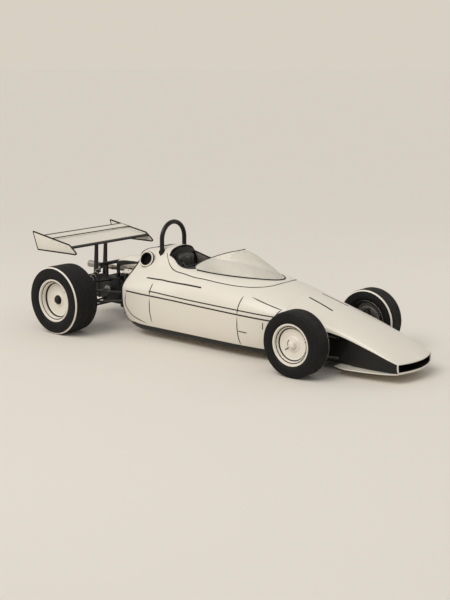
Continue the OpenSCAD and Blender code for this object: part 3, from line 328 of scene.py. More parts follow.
def makeExhaustFinish():
    # heat runs along the pipe in straw, brown and blue bands
    material, tree, principled, weather = startFinish("heatedSteel", "exhaust_steel", {
        "Colour": rgb(0.30, 0.27, 0.24), "Worn": rgb(0.16, 0.10, 0.07), "Patch Scale": 9,
        "Fine Scale": 260, "Wear": 0.6, "Dust Amount": 0.1, "Smooth": 0.28, "Rough": 0.50},
        0.12, 0.0004, {"Metallic": 0.9})[:4]
    place = objectPlace(tree)
    along = addNode(tree, "ShaderNodeSeparateXYZ", {0: place}).outputs["X"]
    bands = maths(tree, "ADD", mapped(tree, along, -0.85, -1.95),
                  maths(tree, "MULTIPLY", noise(tree, place, 14), 0.25))
    ramp = addNode(tree, "ShaderNodeValToRGB", {0: bands})
    ramp.color_ramp.elements[0].color = rgb(0.20, 0.15, 0.17)
    ramp.color_ramp.elements[1].color = rgb(0.36, 0.34, 0.32)
    for spot, colour in ((0.3, rgb(0.32, 0.22, 0.13)), (0.5, rgb(0.14, 0.14, 0.20)),
                         (0.75, rgb(0.28, 0.24, 0.19))):
        ramp.color_ramp.elements.new(spot).color = colour
    tree.links.new(blended(tree, 0.7, weather.outputs["Colour"], ramp.outputs[0]),
                   principled.inputs["Base Color"])
    return material


def ringsRound(tree, hub, pitch):
    place = objectPlace(tree)
    centred = addNode(tree, "ShaderNodeMapping", {"Vector": place, "Location": (-hub.x, 0, -hub.z)})
    rings = {"Vector": centred.outputs[0], "Pitch": pitch}
    return place, addNode(tree, "ShaderNodeGroup", rings, node_tree=ringTree)


def makeRubber(name, hub):
    # slick rubber with a scuffed crown and fine moulded rings
    material, tree, principled, weather, relief = startFinish(name, "tyre", {
        "Colour": rgb(0.0045, 0.0045, 0.0045), "Worn": rgb(0.016, 0.0155, 0.015), "Patch Scale": 16,
        "Fine Scale": 320, "Wear": 0.5, "Smooth": 0.58, "Rough": 0.78},
        0.25, 0.0006, {"Specular IOR Level": 0.22})
    place, rings = ringsRound(tree, hub, 0.0045)
    height = maths(tree, "ADD", weather.outputs["Height"],
                   maths(tree, "MULTIPLY", rings.outputs["Height"], 0.35))
    tree.links.new(height, relief.inputs["Height"])
    crown = mapped(tree, rings.outputs["Radius"], hub.z - 0.016, hub.z - 0.002)
    scuffed = maths(tree, "MULTIPLY", crown, mapped(tree, noise(tree, place, 60, 6), 0.4, 0.7, 0.2, 0.8))
    tree.links.new(blended(tree, scuffed, weather.outputs["Colour"], rgb(0.0135, 0.0132, 0.0128)),
                   principled.inputs["Base Color"])
    return material


def makeDiscIron(name, hub):
    # iron with fine turned rings
    material, tree, _, weather, relief = startFinish(name, "steel", {
        "Colour": rgb(0.33, 0.325, 0.32), "Worn": rgb(0.17, 0.13, 0.10), "Patch Scale": 14,
        "Fine Scale": 300, "Wear": 0.6, "Smooth": 0.28, "Rough": 0.46}, 0.2, 0.0003, {"Metallic": 0.95})
    rings = ringsRound(tree, hub, 0.0022)[1]
    tree.links.new(maths(tree, "ADD", weather.outputs["Height"], rings.outputs["Height"]),
                   relief.inputs["Height"])
    return material


def makeHide(name, colour, worn, scale):
    material, tree, principled, weather, relief = startFinish(name, "seat_cover", {
        "Colour": colour, "Worn": worn, "Patch Scale": 12, "Fine Scale": 500, "Wear": 0.25,
        "Smooth": 0.42, "Rough": 0.62}, 0.45, 0.0012, {"Sheen Weight": 0.12})
    grain = addNode(tree, "ShaderNodeGroup", {"Scale": scale}, node_tree=grainTree)
    tree.links.new(grain.outputs["Height"], relief.inputs["Height"])
    tree.links.new(blended(tree, maths(tree, "MULTIPLY", grain.outputs["Mask"], 0.5),
                           weather.outputs["Colour"], worn), principled.inputs["Base Color"])
    return material


def makeWebbing():
    # belt webbing: fine ribs across the strap, from its own UV map
    material, tree, _, weather, relief = startFinish("beltWebbing", "seat_cover", {
        "Colour": rgb(0.016, 0.016, 0.018), "Worn": rgb(0.06, 0.058, 0.055), "Patch Scale": 20,
        "Fine Scale": 700, "Wear": 0.3, "Smooth": 0.66, "Rough": 0.82},
        0.6, 0.0008, {"Sheen Weight": 0.2})
    flat = addNode(tree, "ShaderNodeTexCoord").outputs["UV"]
    ribs = addNode(tree, "ShaderNodeTexWave", {"Vector": flat, "Scale": 60.0, "Distortion": 0.4},
                   bands_direction="Y")
    cross = addNode(tree, "ShaderNodeTexWave", {"Vector": flat, "Scale": 22.0}, bands_direction="X")
    weave = maths(tree, "MULTIPLY", ribs.outputs["Fac"], cross.outputs["Fac"])
    tree.links.new(maths(tree, "ADD", weather.outputs["Height"], weave), relief.inputs["Height"])
    return material


exhaustSteel = makeExhaustFinish()
frontRubber = makeRubber("frontRubber", middle("front_tyre_left"))
rearRubber = makeRubber("rearRubber", middle("rear_tyre_left"))
frontIron = makeDiscIron("frontDiscIron", middle("front_tyre_left"))
rearIron = makeDiscIron("rearDiscIron", middle("rear_tyre_left"))
seatHide = makeHide("seatHide", rgb(0.020, 0.020, 0.021), rgb(0.055, 0.052, 0.048), 520)
gripHide = makeHide("gripHide", rgb(0.014, 0.014, 0.014), rgb(0.05, 0.046, 0.042), 900)
webbing = makeWebbing()
clearAcrylic = startFinish("clearAcrylic", "acrylic", {
    "Colour": rgb(0.93, 0.89, 0.80), "Worn": rgb(0.86, 0.81, 0.71), "Patch Scale": 5, "Fine Scale": 120,
    "Wear": 0.1, "Smooth": 0.03, "Rough": 0.09}, 0.01, 0.0002, {"Transmission Weight": 0.55, "IOR": 1.2})[0]
threadFinish = startFinish("paleThread", "seat_cover", {
    "Colour": rgb(0.50, 0.47, 0.41), "Worn": rgb(0.32, 0.29, 0.25), "Patch Scale": 40, "Fine Scale": 900,
    "Wear": 0.3, "Smooth": 0.6, "Rough": 0.8}, 0.3, 0.0003)[0]
dialFace = startFinish("dialFace", "black_plastic", {
    "Colour": rgb(0.008, 0.008, 0.009), "Worn": rgb(0.02, 0.02, 0.02), "Patch Scale": 30,
    "Fine Scale": 400, "Wear": 0.1, "Smooth": 0.12, "Rough": 0.22}, 0.02, 0.0002)[0]
print("finishes made:", len(bpy.data.materials))


# Shapes that several pieces share

shift = Matrix.Translation


def turnOn(axis, angle):
    return Matrix.Rotation(radians(angle), 4, axis)


def join(*parts):
    verts, faces = [], []
    for partVerts, partFaces in parts:
        start = len(verts)
        verts += partVerts
        faces += [[start + index for index in face] for face in partFaces]
    return verts, faces


def mirrored(part):
    verts, faces = part
    return [(x, -y, z) for x, y, z in verts], [list(reversed(face)) for face in faces]


def bothSides(part):
    return join(part, mirrored(part))


def spread(start, end, count):
    return [start + (end - start) * index / count for index in range(count + 1)]


def grid(rows, ringRows=False, ringColumns=False):
    height, width = len(rows), len(rows[0])
    faces = []
    for i in range(height if ringRows else height - 1):
        for j in range(width if ringColumns else width - 1):
            below, beside = (i + 1) % height, (j + 1) % width
            faces.append([i * width + j, i * width + beside, below * width + beside, below * width + j])
    return [tuple(point) for row in rows for point in row], faces


def wall(outer, inner, hole=None, ring=False):
    # a closed wall between two grids; hole gives the rows and columns of the cells that stay open
    height, width = len(outer), len(outer[0])
    cells = width if ring else width - 1
    deep = height * width
    faces = []

    def isOpen(i, j):
        if i < 0 or i >= height - 1 or (not ring and (j < 0 or j >= cells)):
            return True
        return bool(hole) and hole[0] <= i < hole[1] and hole[2] <= j < hole[3]

    def at(i, j):
        return i * width + (j % width if ring else j)

    for i in range(height - 1):
        for j in range(cells):
            if isOpen(i, j):
                continue
            a, b, c, d = at(i, j), at(i, j + 1), at(i + 1, j + 1), at(i + 1, j)
            faces.append([a, b, c, d])
            faces.append([deep + d, deep + c, deep + b, deep + a])
            for beside, first, second in ((isOpen(i - 1, j), b, a), (isOpen(i + 1, j), d, c),
                                          (isOpen(i, j - 1), a, d), (isOpen(i, j + 1), c, b)):
                if beside:
                    faces.append([first, second, deep + second, deep + first])
    return [tuple(point) for side in (outer, inner) for row in side for point in row], faces


def circle(radius, count, start=0.0):
    turns = [start + 2 * pi * k / count for k in range(count)]
    return [(radius * cos(turn), radius * sin(turn)) for turn in turns]


def turned(profile, centre, side=1, segments=96):
    # a closed outline of radius and reach, turned about an axle along Y
    rows = [[(centre.x + r * c, centre.y + side * reach, centre.z + r * s) for r, reach in profile]
            for c, s in circle(1, segments)]
    return grid(rows, ringRows=True, ringColumns=True)


def eased(outline, radius, closed=True):
    # rounds the corners of an outline
    count = len(outline)
    out = []
    for k, point in enumerate(outline):
        if not closed and k in (0, count - 1):
            out.append(tuple(point))
            continue
        here, before, after = Vector(point), Vector(outline[k - 1]), Vector(outline[(k + 1) % count])
        into, onward = before - here, after - here
        if into.length < 1e-7 or onward.length < 1e-7:
            continue
        reach = min(radius, into.length * 0.45, onward.length * 0.45)
        start, end = here + into.normalized() * reach, here + onward.normalized() * reach
        for t in (0, 0.5, 1):
            out.append(tuple(start * (1 - t) ** 2 + here * 2 * t * (1 - t) + end * t ** 2))
    return out


def smoothPath(points, steps=6, closed=False):
    # a curve through the points
    count = len(points)
    out = []
    for k in range(count if closed else count - 1):
        four = [points[(k + d) % count] if closed else points[min(max(k + d, 0), count - 1)]
                for d in (-1, 0, 1, 2)]
        a, b, c, d = [Vector(p) for p in four]
        for s in range(steps):
            t = s / steps
            out.append(0.5 * (2 * b + (c - a) * t + (2 * a - 5 * b + 4 * c - d) * t ** 2
                              + (3 * b - a - 3 * c + d) * t ** 3))
    if not closed:
        out.append(Vector(points[-1]))
    return out


def capped(rows):
    # rings joined into a tube, its ends closed
    verts, faces = grid(rows, ringColumns=True)
    size = len(rows[0])
    return verts, faces + [list(range(size)), list(range(len(verts) - size, len(verts)))]


def alongAt(points, k, closed=False):
    # the way a line runs at one of its points
    last = len(points) - 1
    before = points[k - 1] if k or closed else points[k]
    after = points[(k + 1) % len(points)] if k < last or closed else points[k]
    return (Vector(after) - Vector(before)).normalized()


def sweep(path, radius, sides=14, closed=False, flat=1.0):
    # a tube along a path, its ends closed
    points = [Vector(p) for p in path]
    up = Vector((0, 0, 1))
    rows = []
    for k, point in enumerate(points):
        along = alongAt(points, k, closed)
        across = up.cross(along)
        if across.length < 0.05:
            across = Vector((1, 0, 0)).cross(along)
        across.normalize()
        over = along.cross(across)
        size = radius[k] if isinstance(radius, (list, tuple)) else radius
        rows.append([point + across * size * c + over * size * flat * s for c, s in circle(1, sides)])
    return grid(rows, ringRows=True, ringColumns=True) if closed else capped(rows)


def planarTube(path, normal, radius, sides=28, closed=False, flat=1.0):
    # a tube along a line that lies in one plane, its section set by that plane's own normal
    side = Vector(normal)
    rows = []
    for k, point in enumerate(path):
        over = alongAt(path, k, closed).cross(side)
        rows.append([Vector(point) + side * radius * flat * c + over * radius * s
                     for c, s in circle(1, sides)])
    return grid(rows, ringRows=True, ringColumns=True) if closed else capped(rows)


def rod(start, end, radius, sides=16):
    return sweep([start, end], radius, sides)


def block(low, high):
    xs, ys, zs = zip(low, high)
    verts = [(x, y, z) for x in xs for y in ys for z in zs]
    return verts, [[0, 1, 3, 2], [4, 6, 7, 5], [0, 4, 5, 1], [2, 3, 7, 6], [0, 2, 6, 4], [1, 5, 7, 3]]


def bake(obj):
    bpy.context.view_layer.update()
    shown = obj.evaluated_get(bpy.context.evaluated_depsgraph_get())
    mesh = bpy.data.meshes.new_from_object(shown)
    obj.modifiers.clear()
    old = obj.data
    obj.data = mesh
    mesh.name = obj.name
    bpy.data.meshes.remove(old)
    return obj


def build(name, part, material):
    mesh = bpy.data.meshes.new(name)
    mesh.from_pydata(part[0], [], part[1])
    mesh.materials.append(material)
    return linked(name, mesh)


@contextmanager
def editing(obj):
    shape = bmesh.new()
    shape.from_mesh(obj.data)
    yield shape
    shape.to_mesh(obj.data)
    shape.free()


def cutOut(obj, part, turnOut=True):
    # turnOut is left off where the piece's own parts cross each other
    cutter = build("cutter", part, obj.data.materials[0])
    if turnOut:
        with editing(cutter) as shape:
            bmesh.ops.recalc_face_normals(shape, faces=shape.faces)
    cut = obj.modifiers.new("cut", "BOOLEAN")
    cut.object = cutter
    cut.solver = "EXACT"
    cut.use_self = not turnOut
    bake(obj)
    bpy.data.objects.remove(cutter)


def softenEdges(obj, width, segments=2, angle=40):
    edge = obj.modifiers.new("edge", "BEVEL")
    edge.width = width
    edge.segments = segments
    edge.limit_method = "ANGLE"
    edge.angle_limit = radians(angle)
    return bake(obj)


def place(obj, replaced="", angle=38, turnOut=True, body="chassis", slot=""):
    # turns faces out, smooths between sharp edges, gives the piece its body and hides the node it replaces
    with editing(obj) as shape:
        bmesh.ops.remove_doubles(shape, verts=shape.verts, dist=1e-6)
        if turnOut:
            bmesh.ops.recalc_face_normals(shape, faces=shape.faces)
    obj.data.shade_smooth()
    obj.data.set_sharp_from_angle(angle=radians(angle))
    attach(obj, body)
    slot or slotOf[obj.data.materials[-1].name]
    if replaced:
        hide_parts(replaced)
    return obj


def piece(name, part, material, replaced="", edge=0.0, segments=2, angle=38, **where):
    obj = build(name, part, material)
    if edge:
        softenEdges(obj, edge, segments)
    return place(obj, replaced, angle, **where)


def dressed(node, material, edge, **where):
    # the solid itself, its facets merged and its edges rounded
    first, *words = node.split("_")
    name = first + "".join(word.capitalize() for word in words)
    obj = linked(name, nodes[node].data.copy())
    obj.data.materials.clear()
    obj.data.materials.append(material)
    with editing(obj) as shape:
        bmesh.ops.remove_doubles(shape, verts=shape.verts, dist=2e-5)
        bmesh.ops.dissolve_limit(shape, angle_limit=radians(1.5), verts=shape.verts, edges=shape.edges)
    for face in obj.data.polygons:
        face.material_index = 0
    softenEdges(obj, edge)
    return place(obj, node, **where)


# Things that repeat, by Geometry Nodes

def newTree(name, inputs):
    tree = bpy.data.node_groups.new(name, "GeometryNodeTree")
    tree.interface.new_socket("Geometry", in_out="INPUT", socket_type="NodeSocketGeometry")
    for label, kind, value in inputs:
        socket = tree.interface.new_socket(label, in_out="INPUT", socket_type=kind)
        if value is not None:
            socket.default_value = value
    tree.interface.new_socket("Geometry", in_out="OUTPUT", socket_type="NodeSocketGeometry")
    return tree, tree.nodes.new("NodeGroupInput").outputs, tree.nodes.new("NodeGroupOutput")


def endTree(tree, given, out, geometry):
    real = addNode(tree, "GeometryNodeRealizeInstances", {0: geometry})
    painted = addNode(tree, "GeometryNodeSetMaterial", {"Geometry": real.outputs[0],
                                                       "Material": given["Finish"]})
    tree.links.new(painted.outputs[0], out.inputs[0])
    return tree


intSocket, materialSocket, vectorSocket = "NodeSocketInt", "NodeSocketMaterial", "NodeSocketVector"


def makeHeadTree():
    # a coned head on every point, facing along the point's own direction
    tree, given, out = newTree("fastenerHeads", [
        ("Radius", floatSocket, 0.006), ("Height", floatSocket, 0.003), ("Taper", floatSocket, 0.75),
        ("Sides", intSocket, 12), ("Finish", materialSocket, None)])
    facing = addNode(tree, "GeometryNodeInputNamedAttribute", {"Name": "facing"}, data_type="FLOAT_VECTOR")
    turn = addNode(tree, "FunctionNodeAlignRotationToVector", {"Vector": facing.outputs[0]}, axis="Z")
    tip = maths(tree, "MULTIPLY", given["Radius"], given["Taper"])
    head = addNode(tree, "GeometryNodeMeshCone", {
        "Vertices": given["Sides"], "Radius Bottom": given["Radius"], "Radius Top": tip,
        "Depth": given["Height"]})
    heads = addNode(tree, "GeometryNodeInstanceOnPoints", {
        "Points": given["Geometry"], "Instance": head.outputs["Mesh"], "Rotation": turn.outputs[0]})
    return endTree(tree, given, out, heads.outputs[0])


def makeSpringTree():
    tree, given, out = newTree("coilSpring",
                               [("Turns", floatSocket, 8.0), ("Coil Radius", floatSocket, 0.027),
                                ("Wire Radius", floatSocket, 0.004), ("Length", floatSocket, 0.2),
                                ("Finish", materialSocket, None)])
    coil = addNode(tree, "GeometryNodeCurveSpiral", {
        "Resolution": 24, "Rotations": given["Turns"], "Start Radius": given["Coil Radius"],
        "End Radius": given["Coil Radius"], "Height": given["Length"]})
    wire = addNode(tree, "GeometryNodeCurvePrimitiveCircle",
                   {"Resolution": 10, "Radius": given["Wire Radius"]})
    tube = addNode(tree, "GeometryNodeCurveToMesh",
                   {"Curve": coil.outputs[0], "Profile Curve": wire.outputs[0], "Fill Caps": True})
    return endTree(tree, given, out, tube.outputs[0])


def makeSlatTree():
    tree, given, out = newTree("slatRow", [
        ("Count", intSocket, 10), ("Step", vectorSocket, (0, 0, 0.01)),
        ("Size", vectorSocket, (0.1, 0.1, 0.002)), ("Finish", materialSocket, None)])
    line = addNode(tree, "GeometryNodeMeshLine", {"Count": given["Count"], "Offset": given["Step"]})
    slat = addNode(tree, "GeometryNodeMeshCube", {"Size": given["Size"]})
    row = addNode(tree, "GeometryNodeInstanceOnPoints",
                  {"Points": line.outputs[0], "Instance": slat.outputs[0]})
    return endTree(tree, given, out, row.outputs[0])


def makeScreenTree():
    # woven wire across a round mouth
    tree, given, out = newTree("wireScreen", [
        ("Radius", floatSocket, 0.06), ("Cells", intSocket, 13), ("Wire Radius", floatSocket, 0.0009),
        ("Finish", materialSocket, None)])
    across = maths(tree, "MULTIPLY", given["Radius"], 2.0)
    sheet = addNode(tree, "GeometryNodeMeshGrid", {"Size X": across, "Size Y": across,
                                                  "Vertices X": given["Cells"],
                                                  "Vertices Y": given["Cells"]})
    spot = addNode(tree, "GeometryNodeInputPosition")
    distance = addNode(tree, "ShaderNodeVectorMath", {0: spot.outputs[0]},
                       operation="LENGTH").outputs["Value"]
    outside = addNode(tree, "FunctionNodeCompare", {0: distance, 1: given["Radius"]},
                      operation="GREATER_THAN")
    kept = addNode(tree, "GeometryNodeDeleteGeometry", {"Geometry": sheet.outputs["Mesh"],
                                                       "Selection": outside.outputs[0]})
    lines = addNode(tree, "GeometryNodeMeshToCurve", {0: kept.outputs[0]})
    wire = addNode(tree, "GeometryNodeCurvePrimitiveCircle",
                   {"Resolution": 5, "Radius": given["Wire Radius"]})
    tubes = addNode(tree, "GeometryNodeCurveToMesh",
                    {"Curve": lines.outputs[0], "Profile Curve": wire.outputs[0]})
    return endTree(tree, given, out, tubes.outputs[0])


def makeStitchTree():
    # short threads laid end to end along a line of edges
    tree, given, out = newTree("stitchLine", [
        ("Pitch", floatSocket, 0.008), ("Thread", floatSocket, 0.0011), ("Finish", materialSocket, None)])
    line = addNode(tree, "GeometryNodeMeshToCurve", {0: given["Geometry"]})
    spaced = addNode(tree, "GeometryNodeResampleCurve",
                     {"Curve": line.outputs[0], "Length": given["Pitch"]}, mode="LENGTH")
    along = addNode(tree, "GeometryNodeInputTangent")
    turn = addNode(tree, "FunctionNodeAlignRotationToVector", {"Vector": along.outputs[0]}, axis="Z")
    length = maths(tree, "MULTIPLY", given["Pitch"], 0.62)
    thread = addNode(tree, "GeometryNodeMeshCylinder", {"Vertices": 6, "Radius": given["Thread"],
                                                       "Depth": length})
    row = addNode(tree, "GeometryNodeInstanceOnPoints", {
        "Points": spaced.outputs[0], "Instance": thread.outputs["Mesh"], "Rotation": turn.outputs[0]})
    return endTree(tree, given, out, row.outputs[0])


headTree, springTree, slatTree = makeHeadTree(), makeSpringTree(), makeSlatTree()
screenTree, stitchTree = makeScreenTree(), makeStitchTree()


def grown(name, tree, values, verts=((0, 0, 0),), edges=(), facing=None):
    # runs a tree on a few points or edges and keeps the plain mesh
    mesh = bpy.data.meshes.new(name)
    mesh.from_pydata([tuple(v) for v in verts], edges, [])
    if facing:
        spots = mesh.attributes.new("facing", "FLOAT_VECTOR", "POINT")
        spots.data.foreach_set("vector", [value for vector in facing for value in vector])
    obj = linked(name, mesh)
    maker = obj.modifiers.new(tree.name, "NODES")
    maker.node_group = tree
    for socket in tree.interface.items_tree:
        if socket.in_out == "INPUT" and socket.name in values:
            maker[socket.identifier] = values[socket.name]
    return bake(obj)


def heads(name, spots, finish, radius, height, sides=12, taper=0.75, **where):
    values = {"Radius": radius, "Height": height, "Sides": sides, "Taper": taper, "Finish": finish}
    obj = grown(name, headTree, values, [spot[0] for spot in spots], facing=[spot[1] for spot in spots])
    return place(obj, turnOut=False, **where)


print("tools ready")


# Body skin: the same sections as the solids, run finer

skin = {
    "tubHalf": 0.445, "noseHalf": 0.272, "clearance": 0.060, "split": 0.400, "deck": 0.730,
    "panel": 0.008, "gap": 0.0004, "sidePower": 2 / 2.6, "tipBow": 0.062, "bowShare": 0.45,
}
overhang = noseTip - frontAxle
# place along the car, width share, floor inset, floor rise, joint rise, top rise, waist
skinRows = [
    (rearAxle + 0.450, 0.800, 0.072, 0.132, 0.015, 0.025, 0.40),
    (rearAxle + 0.500, 0.890, 0.078, 0.072, 0.015, 0.033, 0.40),
    (rearAxle + 0.570, 0.945, 0.082, 0.028, 0.015, 0.046, 0.39),
    (rearAxle + 0.660, 0.982, 0.082, 0.005, 0.014, 0.068, 0.38),
    (rearAxle + 0.760, 1.000, 0.082, 0.000, 0.012, 0.092, 0.37),
    (rearAxle + 0.900, 1.000, 0.082, 0.000, 0.010, 0.084, 0.34),
    (rearAxle + 1.010, 1.000, 0.082, 0.000, 0.008, 0.046, 0.20),
    (rearAxle + 1.150, 1.000, 0.082, 0.000, 0.005, 0.015, 0.05),
    (rearAxle + 1.300, 1.000, 0.082, 0.000, 0.000, 0.000, 0.00),
    (frontAxle - 0.960, 1.000, 0.082, 0.000, -0.008, -0.030, 0.00),
    (frontAxle - 0.660, 0.954, 0.082, 0.000, -0.017, -0.068, 0.00),
    (frontAxle - 0.410, 0.770, 0.080, 0.000, -0.028, -0.118, 0.00),
    (frontAxle - 0.210, 0.420, 0.080, 0.002, -0.038, -0.170, 0.00),
    (frontAxle, 0.230, 0.080, 0.010, -0.050, -0.230, 0.00),
    (frontAxle + 0.29 * overhang, 0.116, 0.066, 0.015, -0.080, -0.310, 0.00),
    (frontAxle + 0.59 * overhang, 0.052, 0.048, 0.015, -0.148, -0.400, 0.00),
    (frontAxle + 0.86 * overhang, 0.000, 0.030, 0.022, -0.210, -0.500, 0.00),
    (noseTip, -0.058, 0.020, 0.030, -0.238, -0.562, 0.00),
]


def rowSlope(c, i):
    a, b = skinRows[max(i - 1, 0)], skinRows[min(i + 1, len(skinRows) - 1)]
    return (b[c] - a[c]) / (b[0] - a[0])


def column(c, x):
    i = 0
    while i < len(skinRows) - 2 and x > skinRows[i + 1][0]:
        i += 1
    p, q = skinRows[i], skinRows[i + 1]
    run = q[0] - p[0]
    t = min(max((x - p[0]) / run, 0), 1)
    return (p[c] * (2 * t ** 3 - 3 * t ** 2 + 1) + rowSlope(c, i) * run * (t ** 3 - 2 * t ** 2 + t)
            + q[c] * (3 * t ** 2 - 2 * t ** 3) + rowSlope(c, i + 1) * run * (t ** 3 - t ** 2))


def halfAt(x):
    return skin["noseHalf"] + column(1, x) * (skin["tubHalf"] - skin["noseHalf"])


def floorAt(x):
    return skin["clearance"] + column(3, x)


def jointAt(x):
    return skin["split"] + column(4, x)


def topAt(x):
    return skin["deck"] + column(5, x)


def bowAt(x, y):
    start = frontAxle + skin["bowShare"] * overhang
    t = max((x - start) / (noseTip - start), 0)
    return skin["tipBow"] * t * t * (y / halfAt(x)) ** 2


def upperPoint(x, angle, inset=0.0):
    a = radians(angle)
    y = (halfAt(x) - inset) * max(cos(a), 0) * (1 - column(6, x) * sin(2 * a) ** 2)
    rise = (topAt(x) - inset - jointAt(x)) * sin(a)
    return Vector((x - bowAt(x, y), y, jointAt(x) + skin["gap"] + rise))


def lowerPoint(x, angle, inset=0.0):
    a = radians(angle)
    base = halfAt(x) - column(2, x)
    y = base + (halfAt(x) - inset - base) * max(cos(a), 0) ** skin["sidePower"]
    drop = (jointAt(x) - floorAt(x) - inset) * max(sin(a), 0) ** skin["sidePower"]
    return Vector((x - bowAt(x, y), y, jointAt(x) - drop))


def skinPoint(kind, x, angle):
    # a point of the left half and the way out of the skin there
    if kind == "upper":
        a, b = upperPoint(x, min(angle + 0.6, 90)), upperPoint(x, max(angle - 0.6, 0))
        here, ahead = upperPoint(x, angle), upperPoint(x + 0.004, angle)
    else:
        a, b = lowerPoint(x, max(angle - 0.6, 0.2)), lowerPoint(x, max(angle + 0.6, 1.4))
        here, ahead = lowerPoint(x, angle), lowerPoint(x + 0.004, angle)
    out = (ahead - here).cross(a - b).normalized()
    if out.dot(Vector((0, here.y, 0.05 if kind == "upper" else -0.02))) < 0:
        out = -out
    return here, out


def deckPoint(x, y):
    # the upper skin above a place in plan
    low, high = 0.0, 90.0
    for _ in range(40):
        mid = (low + high) / 2
        if upperPoint(x, mid).y > y:
            low = mid
        else:
            high = mid
    return skinPoint("upper", x, low)


def acrossCar(half):
    # a section from the right edge over the middle to the left edge
    return [(p.x, -p.y, p.z) for p in half] + [tuple(p) for p in reversed(half[:-1])]


def overCar(half):
    # a path from the left edge over the middle to the right edge
    return half + [Vector((p.x, -p.y, p.z)) for p in reversed(half[:-1])]


panelColumns = 30


def shell(half, places, hole=None):
    # a wall of the body from half a section, given by place and inset
    outer, inner = [[acrossCar(half(x, inset)) for x in places] for inset in (0, skin["panel"])]
    return wall(outer, inner, hole)


def panel(places):
    angles = spread(0, 90, panelColumns)
    return shell(lambda x, inset: [upperPoint(x, a, inset) for a in angles], places)


tubForm = {
    "bayHalf": 0.235, "bayGap": 0.150, "cellRear": rearAxle + 0.690, "cellFront": rearAxle + 0.960,
    "front": frontAxle - 0.355, "cockpitHalf": 0.280, "floor": 0.020, "cellDrop": 0.001, "step": 0.002,
    "corner": 0.050, "columns": 26, "bayRows": 14,
}


def tubInner(x):
    form = tubForm
    behind = x < form["cellFront"] + form["step"] / 2
    inCell = behind and x > form["cellRear"] + form["step"] / 2
    y = min(form["bayHalf"], halfAt(x) - 0.060) if behind else min(form["cockpitHalf"], halfAt(x) - 0.045)
    top = jointAt(x)
    base = top - form["cellDrop"] if inCell else floorAt(x) + form["floor"]
    r = min(form["corner"], (top - base) / 2)
    arc = [radians(a) for a in spread(0, 90, form["columns"] - 2)]
    corner = [Vector((x, y - r * (1 - cos(a)), base + r - r * sin(a))) for a in arc]
    return [Vector((x, y, top))] + corner + [Vector((x, form["bayGap"], base)), Vector((x, 0, base))]


def tubOuter(x):
    side = [lowerPoint(x, a) for a in spread(0, 90, tubForm["columns"] - 1)]
    return side + [Vector((x, tubForm["bayGap"], floorAt(x))), Vector((x, 0, floorAt(x)))]


def makeTub():
    form = tubForm
    places = (spread(coverRear, form["cellRear"], form["bayRows"])
              + spread(form["cellRear"] + form["step"], form["cellFront"], 10)
              + spread(form["cellFront"] + form["step"], form["front"], 36))
    hole = (0, form["bayRows"], form["columns"], form["columns"] + 2)
    part = wall([acrossCar(tubOuter(x)) for x in places], [acrossCar(tubInner(x)) for x in places], hole)
    piece("tubShell", part, creamPaint, "tub", edge=0.0022)


ductForm = {"place": (rearAxle + 0.584, 0.196, 0.684), "tilt": 24, "yaw": 8, "radius": 0.070, "wall": 0.009,
            "out": 0.034, "inward": 0.060}
hoopForm = {"place": rearAxle + 0.730, "half": 0.155, "tube": 0.021, "top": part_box("roll_hoop")[1].z}


def ductFrame():
    turn = turnOn("Z", -ductForm["yaw"])
    tip = turnOn("X", -90 + ductForm["tilt"])
    return shift(ductForm["place"]) @ turn @ tip


def onFrame(part, matrix):
    return [tuple(matrix @ Vector(v)) for v in part[0]], part[1]


def disc(outline, segments=64):
    # an outline of radius and height turned about Z
    rows = [[(r * c, r * s, h) for r, h in outline] for c, s in circle(1, segments)]
    return grid(rows, ringRows=True, ringColumns=True)


def collar(inner, outer, low, high, sides=64):
    return disc([(inner, low), (outer, low), (outer, high), (inner, high)], sides)


def ballOutline(radius, steps):
    return [(radius * sin(radians(a)), -radius * cos(radians(a))) for a in spread(0, 180, steps)]


def plug(radius, low, high, segments=64):
    return sweep([(0, 0, low), (0, 0, high)], radius, segments)


def makeEngineCover():
    cover = build("engineCover", panel(spread(coverRear, coverJoint - skin["gap"], 40)), creamPaint)
    bore = onFrame(plug(ductForm["radius"] + 0.0004, -0.100, 0.110), ductFrame())
    leg = onFrame(plug(hoopForm["tube"] + 0.0006, 0.40, 1.0),
                  shift((hoopForm["place"], hoopForm["half"], 0)))
    for part in (bore, mirrored(bore), leg, mirrored(leg)):
        cutOut(cover, part)
    softenEdges(cover, 0.0018, angle=50)
    place(cover, "engine_cover", angle=30)


openingForm = {"rear": rearAxle + 0.842, "wide": rearAxle + 1.221, "front": frontAxle - 0.585,
               "half": 0.248, "swell": 0.040, "tipHalf": 0.046}


def openingAt(x):
    form = openingForm
    if x <= form["rear"]:
        return form["half"]
    if x <= form["wide"]:
        share = (x - form["rear"]) / (form["wide"] - form["rear"])
        return form["half"] + form["swell"] * sin(pi * share)
    if x >= form["front"]:
        return form["tipHalf"]
    t = (x - form["wide"]) / (form["front"] - form["wide"])
    return max(form["tipHalf"], form["half"] * sqrt(1 - t * t))


def openingAngle(x):
    return degrees(acos(openingAt(x) / halfAt(x)))


def makeCockpitSurround():
    form = openingForm
    edgeColumns, midColumns, rearRows, openRows = 18, 12, 3, 64

    def half(x, inset):
        edge = openingAngle(x)
        return [upperPoint(x, a, inset)
                for a in spread(0, edge, edgeColumns) + spread(edge, 90, midColumns)[1:]]

    places = spread(coverJoint, form["rear"], rearRows)
    places += [form["rear"] + (form["front"] - form["rear"]) * sin(pi / 2 * i / openRows)
               for i in range(1, openRows + 1)]
    places += spread(form["front"], noseJoint - skin["gap"], 16)[1:]
    hole = (rearRows, rearRows + openRows, edgeColumns, edgeColumns + 2 * midColumns)
    piece("cockpitSurround", shell(half, places, hole), creamPaint, "cockpit_surround", edge=0.0022)


